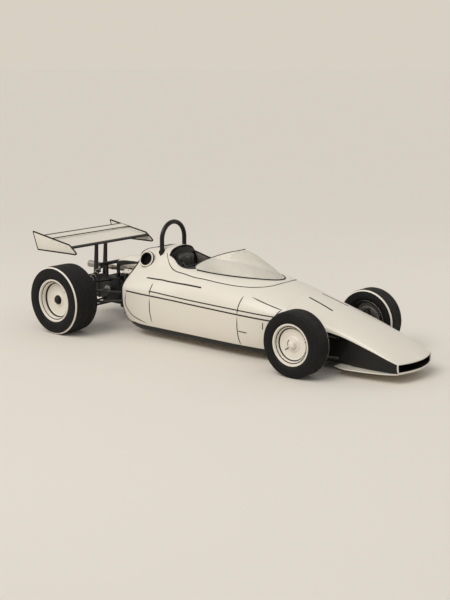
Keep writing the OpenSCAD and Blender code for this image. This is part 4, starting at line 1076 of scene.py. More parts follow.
panForm = {"rear": frontAxle + 0.3204, "columns": 22}
splitterForm = {"thick": 0.008, "rear": frontAxle + 0.215, "out": 0.082, "tipOut": 0.008, "footLow": 0.075}


def makeNose():
    piece("noseCone", panel(spread(noseJoint, noseTip, 54)), creamPaint, "nose_cone", edge=0.0026,
          segments=3)
    places = spread(panForm["rear"], noseTip, 34)

    def half(x, inset):
        side = [lowerPoint(x, a, inset) for a in spread(0, 90, panForm["columns"])]
        return side + [Vector((x, 0, floorAt(x) + inset))]

    # the pan is painted black as painted shade under the nose's upper deck
    piece("nosePan", shell(half, places), blackPaintAndShade, "nose_pan", edge=0.002)
    form = splitterForm

    def reach(x):
        t = (x - form["rear"]) / (noseTip - form["rear"])
        return halfAt(x) + form["tipOut"] + (form["out"] - form["tipOut"]) * (1 - t) * min(1, 0.25 + 4 * t)

    def level(x):
        return (min(floorAt(x), form["footLow"]) if x < panForm["rear"] + 0.040
                else floorAt(x)) - skin["gap"]

    def row(x, drop):
        return [(x - bowAt(x, k * halfAt(x)), k * reach(x), level(x) - drop) for k in spread(-1, 1, 40)]

    places = spread(form["rear"], noseTip, 48)
    part = wall([row(x, 0) for x in places], [row(x, form["thick"]) for x in places])
    piece("noseSplitter", part, creamPaint, "nose_splitter", edge=0.003, segments=3)


screenForm = {"rear": openingForm["wide"], "front": openingForm["front"] + 0.040,
              "half": openingForm["half"] + 0.014, "lean": 0.440, "drawIn": 0.074, "rise": 0.235,
              "flat": 0.11, "thick": 0.005, "gap": 0.0008, "bulge": 0.014}


def deckLevel(x, y):
    share = min(abs(y) / halfAt(x), 1)
    return jointAt(x) + skin["gap"] + (topAt(x) - jointAt(x)) * sqrt(1 - share * share)


def screenPoint(turn, v, inset):
    form = screenForm
    phi = radians(turn)
    c = max(cos(phi), 0)
    x = form["rear"] + (form["front"] - form["rear"]) * cos(phi) - inset * cos(phi)
    y = (form["half"] - inset) * sin(phi)
    k = v * c ** 0.67 + 0.02 * v
    swell = form["bulge"] * sin(pi * v) * c
    return Vector((x - form["lean"] * k * c ** 0.2 + swell * c, y - form["drawIn"] * k * sin(phi),
                   deckLevel(x, y) + form["gap"] + form["rise"] * k * (1 - form["flat"] * v ** 5)))


def makeWindscreen():
    turns = [88 * copysign(abs(t) ** 0.75, t) for t in spread(-1, 1, 80)]
    rows = [[[screenPoint(turn, v, inset) for v in spread(0, 1, 24)] for turn in turns]
            for inset in (0, screenForm["thick"])]
    piece("windscreen", wall(rows[0], rows[1]), clearAcrylic, "windscreen", edge=0.0012)
    foot = [screenPoint(turn, 0, 0.0025) + Vector((0, 0, 0.001)) for turn in turns]
    rim = [screenPoint(turn, 1, 0.0025) for turn in turns]
    piece("screenSeal", join(sweep(foot, 0.0062, 10), sweep(rim, 0.0042, 10)), blackTrim)


makeTub()
makeEngineCover()
makeCockpitSurround()
makeNose()
makeWindscreen()
print("body panels made")


# Lines on the skin: coach lines, seams and the cockpit's edging

lineForm = {"lift": 0.0011, "sink": 0.0006}


def ribbon(path, width, taper=False):
    # a low strip that follows points of the skin, given as place and way out
    rows = []
    places = [here for here, out in path]
    count = len(path)
    for k, (here, out) in enumerate(path):
        across = out.cross(alongAt(places, k)).normalized()
        share = 1.0
        if taper:
            share = max(min(1.0, 5 * k / count, 5 * (count - 1 - k) / count), 0.08)
        half = width / 2 * share
        low, high = -out * lineForm["sink"], out * lineForm["lift"]
        rows.append([here - across * half + low, here - across * half * 0.8 + high, here + high * 1.25,
                     here + across * half * 0.8 + high, here + across * half + low])
    return capped(rows)


def skinPath(kind, stations, count=60):
    # stations of distance from the rear axle and angle, joined by a smooth curve
    line = smoothPath([(x, a, 0) for x, a in stations], max(2, count // (len(stations) - 1)))
    return [skinPoint(kind, rearAxle + p.x, p.y) for p in line]


coachLines = [  # skin, stations, width, tapered
    ("upper", [(0.818, 5.6), (1.45, 6.6), (2.00, 8.2), (2.296, 10.0)], 0.011, False),
    ("upper", [(0.717, 20.2), (0.833, 20.2), (0.949, 21.8), (1.073, 24.8), (1.196, 27.4), (1.304, 28.5),
               (1.409, 29.2)], 0.016, False),
    ("upper", [(2.360, 73.5), (2.486, 70.8), (2.612, 67.5)], 0.017, False),
    ("upper", [(1.948, 35.0), (2.12, 30.0), (2.262, 26.0)], 0.010, True),
]
seamLines = [("upper", [(0.830, 15.0), (0.831, 9.0), (0.832, 0.6)], 0.010, True),
             ("lower", [(0.832, 0.6), (0.830, 12), (0.835, 24), (0.852, 40.5)], 0.010, True),
             ("upper", [(1.868, 33.0), (1.856, 16.0), (1.852, 0.6)], 0.010, True),
             ("lower", [(1.852, 0.6), (1.852, 16), (1.862, 34), (1.880, 51)], 0.010, True),
             ("lower", [(0.522, 1.2), (0.504, 10.5), (0.510, 22), (0.578, 34.0), (0.680, 39.5),
                        (0.780, 44)], 0.010, True),
             ("upper", [(2.246, 26.4), (2.224, 17.0), (2.206, 7.0)], 0.009, True),
             ("lower", [(2.108, 2.5), (2.107, 10.5)], 0.009, False),
             ("lower", [(1.856, 20), (1.955, 20.5)], 0.009, True)]


def makeCoachLines():
    parts = [ribbon(skinPath(kind, stations), width, taper) for kind, stations, width, taper in coachLines]
    joint = [(upperPoint(x, 0) * 0.5 + lowerPoint(x, 0) * 0.5, Vector((0, 1, 0)))
             for x in spread(rearAxle + 0.520, noseJoint, 90)]
    parts.append(ribbon(joint, 0.013))
    piece("coachLines", bothSides(join(*parts)), blackPaintAndShade, angle=60)
    seams = [ribbon(skinPath(kind, stations), width, taper) for kind, stations, width, taper in seamLines]
    piece("panelSeams", bothSides(join(*seams)), blackTrim, angle=60)


# Coaming: a low band between the screen's foot and its outer line, given in plan from the rear axle
coamingForm = {"outer": [(0.800, 0.163), (0.890, 0.224), (1.022, 0.285), (1.244, 0.328), (1.400, 0.328),
                         (1.592, 0.323), (1.784, 0.303), (1.934, 0.255), (2.035, 0.160), (2.070, 0.0)],
               "rise": 0.007, "line": 0.010, "bead": 0.0065}


def evenly(points, count):
    # points at even steps along a line
    lengths = [0.0]
    for a, b in zip(points, points[1:]):
        lengths.append(lengths[-1] + (b - a).length)
    out, k = [], 0
    for step in spread(0, lengths[-1], count):
        while k < len(points) - 2 and lengths[k + 1] < step:
            k += 1
        t = (step - lengths[k]) / max(lengths[k + 1] - lengths[k], 1e-9)
        out.append(points[k].lerp(points[k + 1], min(t, 1)))
    return out


def makeCoaming():
    form = coamingForm
    outer = smoothPath([(rearAxle + x, y, 0) for x, y in form["outer"]], 10)
    inner = [Vector((rearAxle + 0.800, 0.160, 0))]
    inner += [Vector((x, upperPoint(x, openingAngle(x)).y + 0.005, 0))
              for x in spread(openingForm["rear"] + 0.004, openingForm["wide"] - 0.060, 12)]
    inner += [Vector((screenForm["rear"] + (screenForm["front"] + 0.006 - screenForm["rear"]) * sin(t),
                      (screenForm["half"] + 0.006) * cos(t), 0)) for t in spread(0, pi / 2, 40)]
    outer, inner = evenly(outer, 110), evenly(smoothPath(inner, 3), 110)
    rows, line = [], []
    for a, b in zip(outer, inner):
        rise = form["rise"] * min((a - b).length / 0.03, 1)
        row = []
        for t in spread(0, 1, 8):
            spot = a.lerp(b, t)
            here, out = deckPoint(spot.x, max(spot.y, 0.0))
            lift = rise * sin(pi * t) ** 0.6 if 0 < t < 1 else -0.002
            row.append(here + out * lift)
        rows.append(row)
        line.append(deckPoint(a.x, max(a.y, 0.0)))
    band = build("cockpitCoaming", bothSides(grid(rows)), creamPaint)
    thick = band.modifiers.new("thick", "SOLIDIFY")
    thick.thickness = 0.003
    thick.offset = -1
    bake(band)
    place(band)
    rear, front = openingForm["rear"], openingForm["front"]
    edge = [skinPoint("upper", rear, a) for a in spread(90, openingAngle(rear), 20)[:-1]]
    edge += [skinPoint("upper", x, openingAngle(x)) for x in spread(rear, front - 0.002, 90)]
    bead = [here - out * 0.003 for here, out in edge]
    trim = join(ribbon(line, form["line"]), sweep(bead, form["bead"], 10))
    piece("cockpitEdging", bothSides(trim), blackTrim, angle=60)


makeCoachLines()
makeCoaming()
print("lines and coaming made")


# Intakes and roll hoop

def makeIntakes():
    form = ductForm
    r, t, out, inward = form["radius"], form["wall"], form["out"], form["inward"]
    tube = disc(eased([(r, -inward), (r, out - 0.012), (r - t, out - 0.012), (r - t, -inward)], 0.002))
    lip = disc(eased([(r - t - 0.001, out - 0.016), (r + 0.004, out - 0.016), (r + 0.006, out - 0.004),
                      (r - 0.002, out + 0.001), (r - t - 0.002, out - 0.006)], 0.004))
    groove = disc(eased([(r + 0.004, out - 0.021), (r + 0.0095, out - 0.021), (r + 0.0095, out - 0.013),
                         (r + 0.004, out - 0.013)], 0.002))
    ringLine = disc(eased([(r - t - 0.0065, out - 0.012), (r - t + 0.001, out - 0.012),
                           (r - t + 0.001, out - 0.0035), (r - t - 0.0065, out - 0.0065)], 0.001))
    floor = plug(r - t, 0.004 - inward, 0.007 - inward, 48)
    tubes = onFrame(join(tube, groove, ringLine, floor), ductFrame())
    piece("intakeTubes", bothSides(tubes), blackTrim, "intake_ducts")
    piece("intakeLips", bothSides(onFrame(lip, ductFrame())), creamPaint)
    for side, name in ((left, "intakeScreenLeft"), (right, "intakeScreenRight")):
        screen = grown(name, screenTree,
                       {"Radius": r - t, "Cells": 15, "Wire Radius": 0.0011, "Finish": darkSteel})
        screen.data.transform(ductFrame() @ shift((0, 0, -0.012)))
        if side == right:
            screen.data.transform(Matrix.Scale(-1, 4, (0, 1, 0)))
        place(screen, slot="black_plastic")


def makeHoop():
    form = hoopForm
    bend = form["top"] - form["half"] - form["tube"]
    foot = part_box("roll_hoop")[0].z
    path = [(form["place"], form["half"], z) for z in spread(foot, bend, 12)]
    path += [(form["place"], form["half"] * cos(t), bend + form["half"] * sin(t))
             for t in spread(0, pi, 44)[1:-1]]
    path += [(form["place"], -form["half"], z) for z in spread(bend, foot, 12)]
    piece("rollHoop", planarTube(path, (1, 0, 0), form["tube"]), blackPaintAndShade, "roll_hoop")
    collars = []
    for y in (form["half"], -form["half"]):
        here = deckPoint(form["place"], form["half"])[0]
        r = form["tube"]
        ring = disc(eased([(r + 0.0005, -0.006), (r + 0.014, -0.004), (r + 0.010, 0.010),
                           (r + 0.0005, 0.015)], 0.003), 40)
        slope = turnOn("X", -38 if y > 0 else 38)
        collars.append(onFrame(ring, shift((form["place"], y, here.z)) @ slope))
    piece("hoopCollars", join(*collars), blackTrim)


makeIntakes()
makeHoop()
print("intakes and hoop made")


# Wheels

wheelForm = {"flange": 0.011, "flangeWide": 0.008, "margin": 0.012, "fit": 0.0003, "shoulder": 0.020,
             "barrel": 0.008, "face": 0.014, "bossOut": 0.006, "bossIn": 0.004, "spigot": 0.034,
             "crownDrop": 0.003, "lean": 0.005}
# band: the shoulder that carries a cream ring of painted highlight, outer on the rear tyres and inner on the
# front ones; the inner one also brings the hub's arc of painted shade
wheels = {
    "front": {"diameter": 0.548, "width": 0.187, "rim": 0.330, "dish": 0.044, "rubber": frontRubber,
              "iron": frontIron, "band": "inner", "valve": (0.141, 0.047)},
    "rear": {"diameter": 0.640, "width": 0.290, "rim": 0.381, "dish": 0.068, "rubber": rearRubber,
             "iron": rearIron, "band": "outer", "valve": (0.116, 0.092)},
}
sidewallRibs = [(0.20, 0.0016), (0.34, 0.0012), (0.62, 0.0014), (0.80, 0.0018)]  # share of the wall, height


def shoulderPoint(wheel, angle, lift=0.0):
    a = radians(angle)
    r, h = wheel["diameter"] / 2, wheel["width"] / 2
    centre = (r - wheelForm["crownDrop"] - wheelForm["shoulder"],
              h - wheelForm["lean"] - wheelForm["shoulder"])
    size = wheelForm["shoulder"] + lift
    return (centre[0] + size * sin(a), centre[1] + size * cos(a))


def tyreHalf(wheel):
    form = wheelForm
    r, h, rim = wheel["diameter"] / 2, wheel["width"] / 2, wheel["rim"] / 2
    foot = rim + form["flange"] + 0.002
    bead = h - form["margin"] - form["flangeWide"] - form["fit"]
    mid = rim + 0.48 * (r - rim)
    out = [(rim + form["fit"], bead)]
    for a in spread(0, pi / 2, 22):
        out.append((mid - (mid - foot) * cos(a), bead + (h - bead) * sin(a)))
    top = shoulderPoint(wheel, 0)
    for t in spread(0, 1, 12)[1:-1]:
        out.append((mid + (top[0] - mid) * t, h + (top[1] - h) * t))
    out += [shoulderPoint(wheel, a) for a in spread(0, 90, 10)]
    ribbed = []
    for radius, reach in out:
        share = (radius - foot) / (top[0] - foot)
        lift = sum(size * exp(-((share - spot) / 0.022) ** 2) for spot, size in sidewallRibs)
        ribbed.append((radius, reach + lift if 0 < share < 1 else reach))
    crown = 0.3 * wheel["width"]
    last = ribbed[-1]
    for t in spread(0, 1, 6)[1:]:
        ribbed.append((last[0] + (r - last[0]) * sin(pi / 2 * t), last[1] + (crown - last[1]) * t))
    for groove in (0.22, 0.10):
        at = groove * wheel["width"]
        ribbed += [(r, at + 0.0025), (r - 0.0022, at + 0.0012), (r - 0.0022, at - 0.0012), (r, at - 0.0025)]
    return ribbed


def tyreOutline(wheel):
    r, h, rim = wheel["diameter"] / 2, wheel["width"] / 2, wheel["rim"] / 2
    bead = h - wheelForm["margin"] - wheelForm["flangeWide"] - wheelForm["fit"]
    half = tyreHalf(wheel)
    hollow = [(r - 0.018, 0.25 * wheel["width"]), (r - 0.026, h - 0.040), (r - 0.060, h - 0.022),
              (rim + 0.030, h - 0.022), (rim + 0.012, bead - 0.016), (rim + wheelForm["fit"], bead - 0.018)]
    return (half + [(a, -b) for a, b in reversed(half)] + [(a, -b) for a, b in reversed(hollow)] + hollow)


def rimOutline(wheel):
    form = wheelForm
    r, h = wheel["rim"] / 2, wheel["width"] / 2 - form["margin"]
    face = h - wheel["dish"]
    back = face - form["face"]
    b = r - form["barrel"]
    flange, wide, spigot, fit = r + form["flange"], form["flangeWide"], form["spigot"], form["fit"]
    bossOut, bossIn = face + form["bossOut"], back - form["bossIn"]
    return [(flange, -h), (flange, wide - h), (r, wide - h), (r, h - wide), (flange, h - wide), (flange, h),
            (r - 0.002, h), (r - 0.005, h - 0.005), (b - 0.002, h - 0.016), (b - 0.014, h - 0.018),
            (b - 0.016, h - 0.62 * wheel["dish"]), (b - 0.030, face + 0.004), (b - 0.040, face),
            (spigot + 0.034, face - 0.002), (spigot + 0.024, bossOut), (spigot + fit, bossOut),
            (spigot + fit, bossIn), (spigot + 0.026, bossIn), (spigot + 0.032, back), (b - 0.026, back),
            (b, back - 0.020), (b, 0.012 - h), (r - 0.002, -h)]


hubForm = {"nut": 0.036, "nutThick": 0.020, "cap": 0.024, "flange": 0.054, "flangeThick": 0.012,
           "bell": 0.060, "bellLong": 0.040, "brake": 0.012, "disc": 0.122}


def hubFaces(wheel):
    face = wheel["width"] / 2 - wheelForm["margin"] - wheel["dish"]
    back = face - wheelForm["face"] - wheelForm["bossIn"] - wheelForm["fit"]
    front = face + wheelForm["bossOut"] + wheelForm["fit"]
    return face, back, front, back - hubForm["flangeThick"] - hubForm["bellLong"] - hubForm["brake"]


def wheelSpots(centre, side, radius, reach, count, facing=1, start=0.0):
    # places round a wheel, all facing along the axle
    return [((centre.x + x, centre.y + side * reach, centre.z + z), (0, side * facing, 0))
            for x, z in circle(radius, count, start)]


def makeWheel(end, sideName, side):
    wheel = wheels[end]
    body = f"{end}_wheel_{sideName}"
    tag = end + sideName.capitalize()
    centre = middle(f"{end}_tyre_{sideName}")
    piece(tag + "Tyre", turned(tyreOutline(wheel), centre, side, 144), wheel["rubber"],
          f"{end}_tyre_{sideName}", angle=50, body=body)
    # the cream ring turned on one shoulder of the tyre is a painted highlight
    lean = 1 if wheel["band"] == "outer" else -1
    band = [shoulderPoint(wheel, a, 0.0007) for a in spread(24, 68, 8)]
    band += [shoulderPoint(wheel, a, -0.0008) for a in spread(68, 24, 8)]
    piece(tag + "Band", turned(band, centre, side * lean, 144), rimPaintAndHighlight, angle=60, body=body)
    rim = turned(eased(rimOutline(wheel), 0.0035), centre, side, 112)
    piece(tag + "Rim", rim, rimPaintAndHighlight, f"{end}_rim_{sideName}", angle=50, body=body)
    makeWheelTrim(tag, wheel, body, centre, side)
    makeHub(tag, end, sideName, wheel, body, centre, side)


def ringLine(start, end, lift=0.0009):
    # a thin painted ring on a turned face, between two points of its outline
    along = (Vector(end) - Vector(start)).normalized()
    out = Vector((-along.y, along.x)) * lift
    if out.y < 0:
        out = -out
    a, b = Vector(start), Vector(end)
    return [tuple(p) for p in (a - out, a + out, b + out, b - out)]


def makeWheelTrim(tag, wheel, body, centre, side):
    h = wheel["width"] / 2 - wheelForm["margin"]
    face = hubFaces(wheel)[0]
    stepRadius = wheel["rim"] / 2 - wheelForm["barrel"] - 0.008
    heads(tag + "RimBolts", wheelSpots(centre, side, stepRadius, h - 0.0178, 24), blackPaintAndShade, 0.0042,
          0.0035, 6, 0.9, body=body)
    along, up = wheel["valve"]
    stem, cap = [[(centre.x + along, centre.y + side * (face + d), centre.z + up) for d in reach]
                 for reach in ((-0.002, 0.006, 0.022), (0.020, 0.034))]
    piece(tag + "Valve", join(sweep(stem, [0.0075, 0.0055, 0.0045], 14), sweep(cap, 0.0055, 12)),
          blackTrim, edge=0.0008, body=body)
    b = wheel["rim"] / 2 - wheelForm["barrel"]
    top, foot = Vector((b - 0.016, h - 0.62 * wheel["dish"])), Vector((b - 0.030, face + 0.004))
    lines = [ringLine((b - 0.0005, h - 0.0150), (b - 0.0095, h - 0.0172)),
             ringLine(top.lerp(foot, 0.25), top.lerp(foot, 0.90))]
    r = wheel["rim"] / 2
    # the rim's inboard flange and barrel are painted black: painted shade inside the wheel
    inward = [(r + wheelForm["flange"] - 0.0006, -h), (r - 0.002, -h), (b, 0.012 - h), (b, face - 0.036)]
    lines += [ringLine(start, end) for start, end in zip(inward, inward[1:])]
    rings = [turned(line, centre, side, 112) for line in lines]
    if wheel["band"] == "inner":
        rings += balanceMarkAndShadeArc(centre, side, face)
    piece(tag + "RimLines", join(*rings), blackPaintAndShade, angle=60, body=body)


def balanceMarkAndShadeArc(centre, side, face):
    # a short painted mark across the face, and an arc of painted shade on one side of the hub
    boss = face + wheelForm["bossOut"]
    turn = radians(217)
    mark = [(radius * cos(turn), up, radius * sin(turn))
            for radius, up in ((0.096, face), (0.0695, face), (0.0585, boss), (0.050, boss))]
    arc = [(0.049 * cos(radians(a)), boss, 0.049 * sin(radians(a))) for a in spread(138, 200, 14)]
    return [sweep([(centre.x + x, centre.y + side * up, centre.z + z) for x, up, z in line], 0.0036, 10)
            for line in (mark, arc)]


def makeHub(tag, end, sideName, wheel, body, centre, side):
    form = hubForm
    back, front, inner = hubFaces(wheel)[1:]
    axleHole = 0.0185 if end == "front" else 0.001
    swept, bellR, spigot = form["disc"], form["bell"], wheelForm["spigot"] - 0.0003
    outer, step = inner + form["brake"], back - form["flangeThick"]
    bell = [(axleHole, inner), (swept, inner), (swept, outer), (bellR, outer), (bellR, step),
            (form["flange"], step), (form["flange"], back), (spigot, back), (spigot, front + 0.001),
            (axleHole, front + 0.001)]
    parts = [turned(eased(bell, 0.0016), centre, side, 96)]
    if end == "rear":
        parts += rearShafts(centre, side, inner)
    piece(tag + "Hub", join(*parts), wheel["iron"], f"{end}_hub_{sideName}", angle=45, body=body)
    rows = []
    for ring, radius in enumerate((0.074, 0.090, 0.106)):
        for reach, facing in ((inner, -1), (outer, 1)):
            rows += wheelSpots(centre, side, radius, reach, 18, facing, 0.17 * ring)
    heads(tag + "DiscDrillings", rows, blackTrim, 0.0042, 0.0004, 12, 0.96, body=body, slot="steel")
    finish = blackPaintAndShade if end == "rear" else rimPaintAndHighlight
    washer = turned(eased([(0.012, front - 0.001), (0.0440, front - 0.001), (0.0440, front + 0.005),
                           (0.012, front + 0.006)], 0.002), centre, side, 64)
    seat = shift((centre.x, centre.y + side * (front + 0.005), centre.z)) @ turnOn("X", -90 * side)
    nut = onFrame(sweep([(0, 0, 0), (0, 0, form["nutThick"] - 0.005)], form["nut"], 6), seat)
    dome = [(0.0005, front + form["nutThick"] - 0.002)]
    dome += [(form["cap"] * 1.15 * cos(a), front + form["nutThick"] - 0.001 + 0.0105 * sin(a))
             for a in spread(0, pi / 2 * 0.98, 8)]
    piece(tag + "Nut", join(washer, nut, turned(dome, centre, side, 56)), finish, edge=0.0014, body=body)


def rearShafts(centre, side, inner):
    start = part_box("rear_hub_left")[0].y
    gap, housing, jointLong, jointR, shaft, half = 0.014, 0.076, 0.040, 0.038, 0.024, 0.014
    brake = abs(centre.y) + inner
    joint = brake - gap - housing - gap - jointLong
    base = Vector((centre.x, 0, centre.z))
    boot = [(half, 0.0), (jointR - 0.004, 0.0), (jointR, 0.006), (jointR, jointLong - 0.006),
            (jointR - 0.006, jointLong), (half, jointLong)]
    pieces = [turned(eased([(r, y + reach) for r, reach in boot], 0.002), base, side, 48)
              for y in (start, joint)]
    for low, high, radius in ((start, joint, half), (joint + jointLong, brake, shaft)):
        pieces.append(rod((base.x, side * low, base.z), (base.x, side * high, base.z), radius, 32))
    return pieces


for endName in wheels:
    for sideWord, sideSign in (("left", left), ("right", right)):
        makeWheel(endName, sideWord, sideSign)
print("wheels made")


# Nose: a rolled lip round the mouth, and fins on the radiator

noseLipForm = {"radius": 0.0068, "back": 0.003, "inset": 0.003}


def makeNoseLip():
    form = noseLipForm
    x = noseTip - form["back"]
    side = [lowerPoint(x, a, form["inset"]) for a in spread(0, 90, 30)]
    under = [Vector((x - bowAt(x, y), y, floorAt(x) + form["inset"]))
             for y in spread(side[-1].y, 0, 12)[1:]]
    piece("noseLip", planarTube(overCar(side + under), (1, 0, 0), form["radius"], 14), creamPaint, angle=60)


finForm = {"count": 56, "step": 0.0062, "thick": 0.0011, "deep": 0.0125, "margin": 0.018}


def makeRadiatorFins():
    form = finForm
    low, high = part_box("radiator")
    tall = high.z - low.z - 2 * form["margin"]
    fins = grown("radiatorFins", slatTree,
                 {"Count": form["count"], "Step": (0, form["step"], 0), "Finish": castMetal,
                  "Size": (form["deep"], form["thick"], tall)})
    start = Vector((high.x - 0.0058, -form["step"] * (form["count"] - 1) / 2, (low.z + high.z) / 2))
    fins.data.transform(shift(start))
    place(fins, turnOut=False)


# Black band along the tub's lower edge, painted shade under the body, and rubber edging round the tail of
# the body

sillShadeForm = {"from": rearAxle + 0.4515, "to": rearAxle + 2.195, "top": 51, "bottom": 89}


def skinSheet(rows, lift=0.0010, sink=0.0006):
    # a thin layer on the skin from rows of places and ways out
    return wall([[here + out * lift for here, out in row] for row in rows],
                [[here - out * sink for here, out in row] for row in rows])


# a black band on the tub's lower edge, painted shade where the body turns under
def makeSillShade():
    form = sillShadeForm
    rows = []
    for x in spread(form["from"], form["to"], 90):
        share = min(0.45 + (x - form["from"]) / 0.30, 0.1 + (form["to"] - x) / 0.03, 1)
        top = form["bottom"] - (form["bottom"] - form["top"]) * share
        rows.append([skinPoint("lower", x, a) for a in spread(top, form["bottom"], 10)])
    piece("sillBand", bothSides(skinSheet(rows)), blackPaintAndShade, angle=60)


def makeTailEdging():
    x, inset = coverRear + 0.003, 0.004
    half = [lowerPoint(x, a, inset) for a in spread(64, 0, 24)[:-1]]
    half += [upperPoint(x, a, inset) for a in spread(0, 90, 40)]
    piece("tailEdging", planarTube(overCar(half), (1, 0, 0), 0.0085, 14), blackTrim, angle=60)


makeNoseLip()
makeRadiatorFins()
makeSillShade()
makeTailEdging()
print("nose lip, sill and edging made")


# Air scoop: an oval trunk, cream, with a black band of painted shade along each flank and a black lining of
# painted shade inside

scoopForm = {
    "tail": rearAxle + 0.015, "mouth": rearAxle + 0.385, "wall": 0.005, "chin": 0.030,
    "base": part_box("air_scoop")[0].z, "shadeTail": (0.02, 258, 0.078), "shadeMouth": (1.0, 288, 0.020),
    # share of the way from tail to mouth, half width, half height
    "rows": [(0, 0.022, 0.014), (0.05, 0.050, 0.032), (0.16, 0.076, 0.048), (0.40, 0.092, 0.062),
             (0.70, 0.102, 0.067), (1, 0.108, 0.069)],
}


def scoopPoint(row, angle, inset=0.0):
    form = scoopForm
    share, wide, tall = row
    a = radians(angle)
    x = form["tail"] + (form["mouth"] - form["tail"]) * share
    x -= form["chin"] * share * share * (cos(a) - 1) / 2
    return Vector((x, (wide - inset) * sin(a), form["base"] + tall + (tall - inset) * cos(a)))


def makeScoop():
    form = scoopForm
    rows = [tuple(row) for row in smoothPath(form["rows"], 9)]
    angles = spread(0, 360, 96)[:-1]

    def layer(low, high, stop=1.0):
        # a closed layer between two insets, from the tail to a share of the way
        near = [row for row in rows if row[0] <= stop]
        return wall(*[[[scoopPoint(row, a, inset) for a in angles] for row in near]
                      for inset in (low, high)], ring=True)

    piece("airScoop", layer(0, form["wall"]), creamPaint, "air_scoop", edge=0.0012)
    # the lining and the bands on the flanks are black, as painted shade
    lining = layer(form["wall"] + 0.0003, form["wall"] + 0.0012)
    start, end = form["shadeTail"], form["shadeMouth"]
    bands = []
    for side in (1, -1):
        band = []
        for row in rows:
            share, wide, tall = row
            if not start[0] <= share <= 0.995:
                continue
            t = (share - start[0]) / (end[0] - start[0])
            centre, width = start[1] + (end[1] - start[1]) * t ** 0.8, start[2] + (end[2] - start[2]) * t
            reach = degrees(width / (wide + tall))
            band.append([scoopPoint(row, side * a, -0.0009)
                         for a in spread(centre - reach, centre + reach, 10)])
        under = [[p.lerp(Vector((p.x, 0, form["base"] + 0.05)), 0.02) for p in row] for row in band]
        bands.append(wall(band, under))
    piece("scoopPaintedShade", join(lining, layer(-0.0009, 0.001, 0.035), *bands), blackPaintAndShade, angle=60)


makeScoop()
print("air scoop made")


# Wing: two planes, end plates with edging, and rivets along the ribs

wingForm = {"front": rearAxle - 0.085, "height": 0.762, "slope": 11, "chord": 0.292, "flapChord": 0.122,
            "flapSlope": 2, "slot": 0.009, "overlap": 0.004, "half": 0.5236, "thick": 0.12, "sag": 0.045,
            "noseShadeStrip": 0.105, "tailStrip": 0.85}
plateForm = {"tail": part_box("wing_end_plates")[0].x, "front": rearAxle - 0.027, "top": 0.872, "low": 0.700,
             "middle": 0.527, "edging": 0.0085}


def wingPoint(share, face, lift=0.0, flap=False):
    # a point of a plane's section, as place along the car and height
    form = wingForm
    chord = form["flapChord"] if flap else form["chord"]
    bulk = 5 * (0.2969 * sqrt(share) - 0.126 * share - 0.3516 * share ** 2 + 0.2843 * share ** 3
                - 0.1036 * share ** 4)
    spot = Vector((-share * chord, chord * (face * form["thick"] * bulk
                                            - form["sag"] * 4 * share * (1 - share))))
    spot.y += face * lift
    if flap:
        spot.rotate(Matrix.Rotation(radians(-form["flapSlope"]), 2))
        spot += Vector((form["overlap"] - form["chord"], form["slot"]))
    spot.rotate(Matrix.Rotation(radians(-form["slope"]), 2))
    return form["front"] + spot.x, form["height"] + spot.y


def acrossWing(section, half, count=20):
    return capped([[(x, y, z) for x, z in section] for y in spread(-half, half, count)])


def stripOn(outline, lift):
    # a thin layer over an open outline
    raised = []
    for k, point in enumerate(outline):
        along = alongAt(outline, k)
        raised.append(tuple(Vector(point) + Vector((-along.y, along.x)) * lift))
    return raised


def makeWing():
    form = wingForm
    shares = [(k / 36) ** 2 for k in range(37)]
    planes = []
    for flap in (False, True):
        section = [wingPoint(s, 1, 0, flap) for s in shares]
        section += [wingPoint(s, -1, 0, flap) for s in shares[-2:0:-1]]
        planes.append(acrossWing(section, form["half"]))
    piece("wingPlanes", join(*planes), creamPaint, "wing_planes", angle=45)
    # black strips: round the leading edge, painted shade for its shaded underside; on the flap's nose,
    # painted shade in the slot; and along the flap's trailing edge
    nose = [wingPoint(s * s, 1) for s in reversed(spread(0, form["noseShadeStrip"] ** 0.5, 14))]
    nose += [wingPoint(s * s, -1) for s in spread(0, 0.24, 8)[1:]]
    flapNose = [wingPoint(s * s, 1, 0, True) for s in reversed(spread(0, 0.30, 8))]
    tail = [wingPoint(s, 1, 0, True) for s in spread(1.0, form["tailStrip"], 5)]
    strips = []
    for line in (nose, flapNose, tail):
        section = stripOn(line, 0.0011) + list(reversed(stripOn(line, -0.0004)))
        strips.append(acrossWing(section, form["half"] - 0.0006))
    piece("wingStripsAndShade", join(*strips), blackPaintAndShade, angle=60)
    spots = []
    for y in (-0.40, -0.20, 0.0, 0.20, 0.40):
        for s in spread(0.16, 0.90, 14):
            spots.append(((wingPoint(s, 1, 0.0006)[0], y, wingPoint(s, 1, 0.0006)[1]), (0.19, 0, 0.98)))
    heads("wingRivets", spots, creamPaint, 0.0032, 0.0014, 8, 0.7)
    makeEndPlates()


def makeEndPlates():
    form = plateForm
    tail, front, low = form["tail"], form["front"], form["low"]
    outline = [(tail, form["top"]), (tail + 0.062, low), (front - 0.014, low + 0.006), (front, low + 0.016),
               (front - 0.030, low + 0.042), (front - 0.095, low + 0.088)]
    dressed("wing_end_plates", creamPaint, 0.0015)
    inner = [Vector(p).lerp(Vector((front - 0.28, low + 0.07)), 0.012) for p in outline]
    path = [(p[0], form["middle"], p[1]) for p in eased([tuple(p) for p in inner], 0.004)]
    edging = planarTube(path, (0, 1, 0), form["edging"], 12, closed=True, flat=0.55)
    piece("plateEdging", bothSides(edging), blackTrim, angle=60)
    spots = []
    for s in (0.04, 0.30, 0.62, 0.94):
        x, z = wingPoint(s, 1)
        x2, z2 = wingPoint(s, -1)
        spots.append((((x + x2) / 2, 0.5306, (z + z2) / 2), (0, 1, 0)))
    spots += [((x, -y, z), (0, -1, 0)) for (x, y, z), _ in spots]
    heads("plateScrews", spots, bareSteel, 0.0052, 0.0026, 6, 0.9)


makeWing()
print("wing made")


# Cockpit: padded seat and headrest

